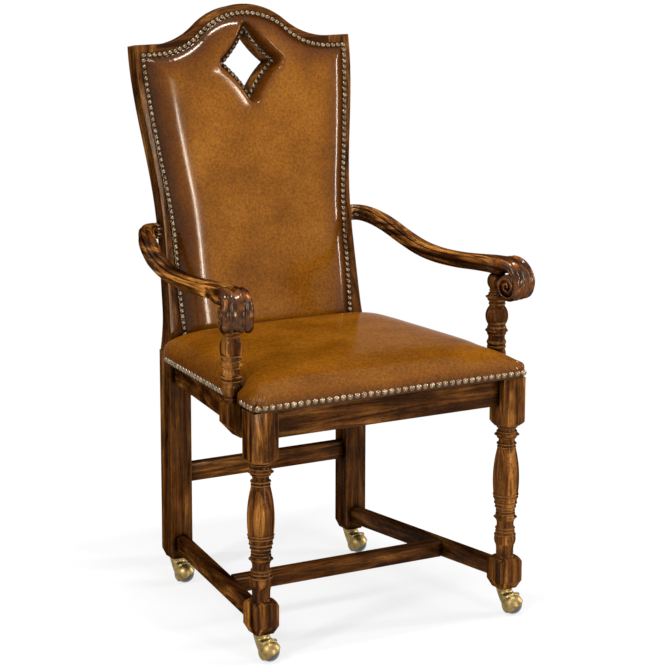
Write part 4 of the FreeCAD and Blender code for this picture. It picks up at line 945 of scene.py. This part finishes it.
bpy.ops.object.select_all(action="DESELECT")
bpy.ops.mesh.primitive_plane_add(size=30.0)
floor = bpy.context.active_object
floor.name = "floor"
floor_white, floor_tree, floor_shader, floor_place = shader_of("floor_white")
floor_shader.inputs["Base Color"].default_value = (0.92, 0.92, 0.92, 1.0)
floor_shader.inputs["Roughness"].default_value = 0.8
floor_shader.inputs["Specular IOR Level"].default_value = 0.1
away = add(floor_tree, "ShaderNodeVectorMath", operation="LENGTH")
floor_tree.links.new(floor_place, away.inputs[0])
fade = add(floor_tree, "ShaderNodeMapRange", {"From Min": 0.5, "From Max": 1.8, "To Min": 0.76},
           interpolation_type="SMOOTHSTEP")
floor_tree.links.new(away.outputs["Value"], fade.inputs["Value"])
floor_rays = floor_tree.nodes.new("ShaderNodeLightPath")
far_seen = add(floor_tree, "ShaderNodeMath", operation="MULTIPLY")
floor_tree.links.new(fade.outputs["Result"], far_seen.inputs[0])
floor_looks = add(floor_tree, "ShaderNodeMath", operation="MAXIMUM")
floor_tree.links.new(floor_rays.outputs["Is Camera Ray"], floor_looks.inputs[0])
floor_tree.links.new(floor_rays.outputs["Is Glossy Ray"], floor_looks.inputs[1])
floor_tree.links.new(floor_looks.outputs["Value"], far_seen.inputs[1])
far_white = add(floor_tree, "ShaderNodeEmission", {"Color": (1.0, 1.0, 1.0, 1.0), "Strength": 1.0})
floor_mix = floor_tree.nodes.new("ShaderNodeMixShader")
floor_tree.links.new(far_seen.outputs["Value"], floor_mix.inputs["Fac"])
floor_tree.links.new(floor_shader.outputs["BSDF"], floor_mix.inputs[1])
floor_tree.links.new(far_white.outputs["Emission"], floor_mix.inputs[2])
floor_tree.links.new(floor_mix.outputs["Shader"], floor_tree.nodes["Material Output"].inputs["Surface"])
floor.data.materials.append(floor_white)


def soft_box(name, place, aim, width, height, power):
    """A rectangular lamp at a place, turned to a point."""
    bpy.ops.object.light_add(type="AREA", location=place)
    lamp = bpy.context.active_object
    lamp.name = name
    lamp.data.shape = "RECTANGLE"
    lamp.data.size = width
    lamp.data.size_y = height
    lamp.data.energy = power
    lamp.rotation_euler = (Vector(aim) - Vector(place)).to_track_quat("-Z", "Y").to_euler()


soft_box("top_box", (0.0, -0.3, 4.2), (0.0, 0.0, 0.5), 1.4, 0.3, 120.0)
soft_box("front_strip", (0.75, -4.2, 1.00), (0.0, 0.1, 0.8), 0.18, 1.7, 94.0)
soft_box("left_box", (-3.2, -1.4, 3.0), (0.0, 0.0, 0.6), 0.3, 1.8, 98.0)
soft_box("right_box", (3.6, -0.9, 1.6), (0.0, 0.0, 0.6), 0.16, 2.0, 105.0)

world = bpy.data.worlds.new("studio")
bpy.context.scene.world = world
world.use_nodes = True
sky = world.node_tree.nodes["Background"]
rays = world.node_tree.nodes.new("ShaderNodeLightPath")
seen = rays.outputs["Is Camera Ray"]
for kind in ("Is Glossy Ray", "Is Transmission Ray"):
    either = add(world.node_tree, "ShaderNodeMath", operation="MAXIMUM")
    world.node_tree.links.new(seen, either.inputs[0])
    world.node_tree.links.new(rays.outputs[kind], either.inputs[1])
    seen = either.outputs["Value"]
level = add(world.node_tree, "ShaderNodeMapRange", {"To Min": 0.30, "To Max": 1.0})
world.node_tree.links.new(seen, level.inputs["Value"])
world.node_tree.links.new(level.outputs["Result"], sky.inputs["Strength"])
sky.inputs["Color"].default_value = (1.0, 1.0, 1.0, 1.0)

bpy.ops.object.camera_add()
camera = bpy.context.active_object
camera.data.sensor_width = 36.0
camera.data.lens = 129.71
camera_yaw = math.radians(-29.784)
camera_tilt = math.radians(90.0 - 12.633)
camera_roll = math.radians(0.142)
stand = Matrix.Translation((-2.37526, -4.23107, 1.65101))
camera.matrix_world = (stand @ Matrix.Rotation(camera_yaw, 4, "Z") @ Matrix.Rotation(camera_tilt, 4, "X")
                       @ Matrix.Rotation(camera_roll, 4, "Z"))
bpy.context.scene.camera = camera
bpy.context.scene.view_settings.view_transform = "Standard"
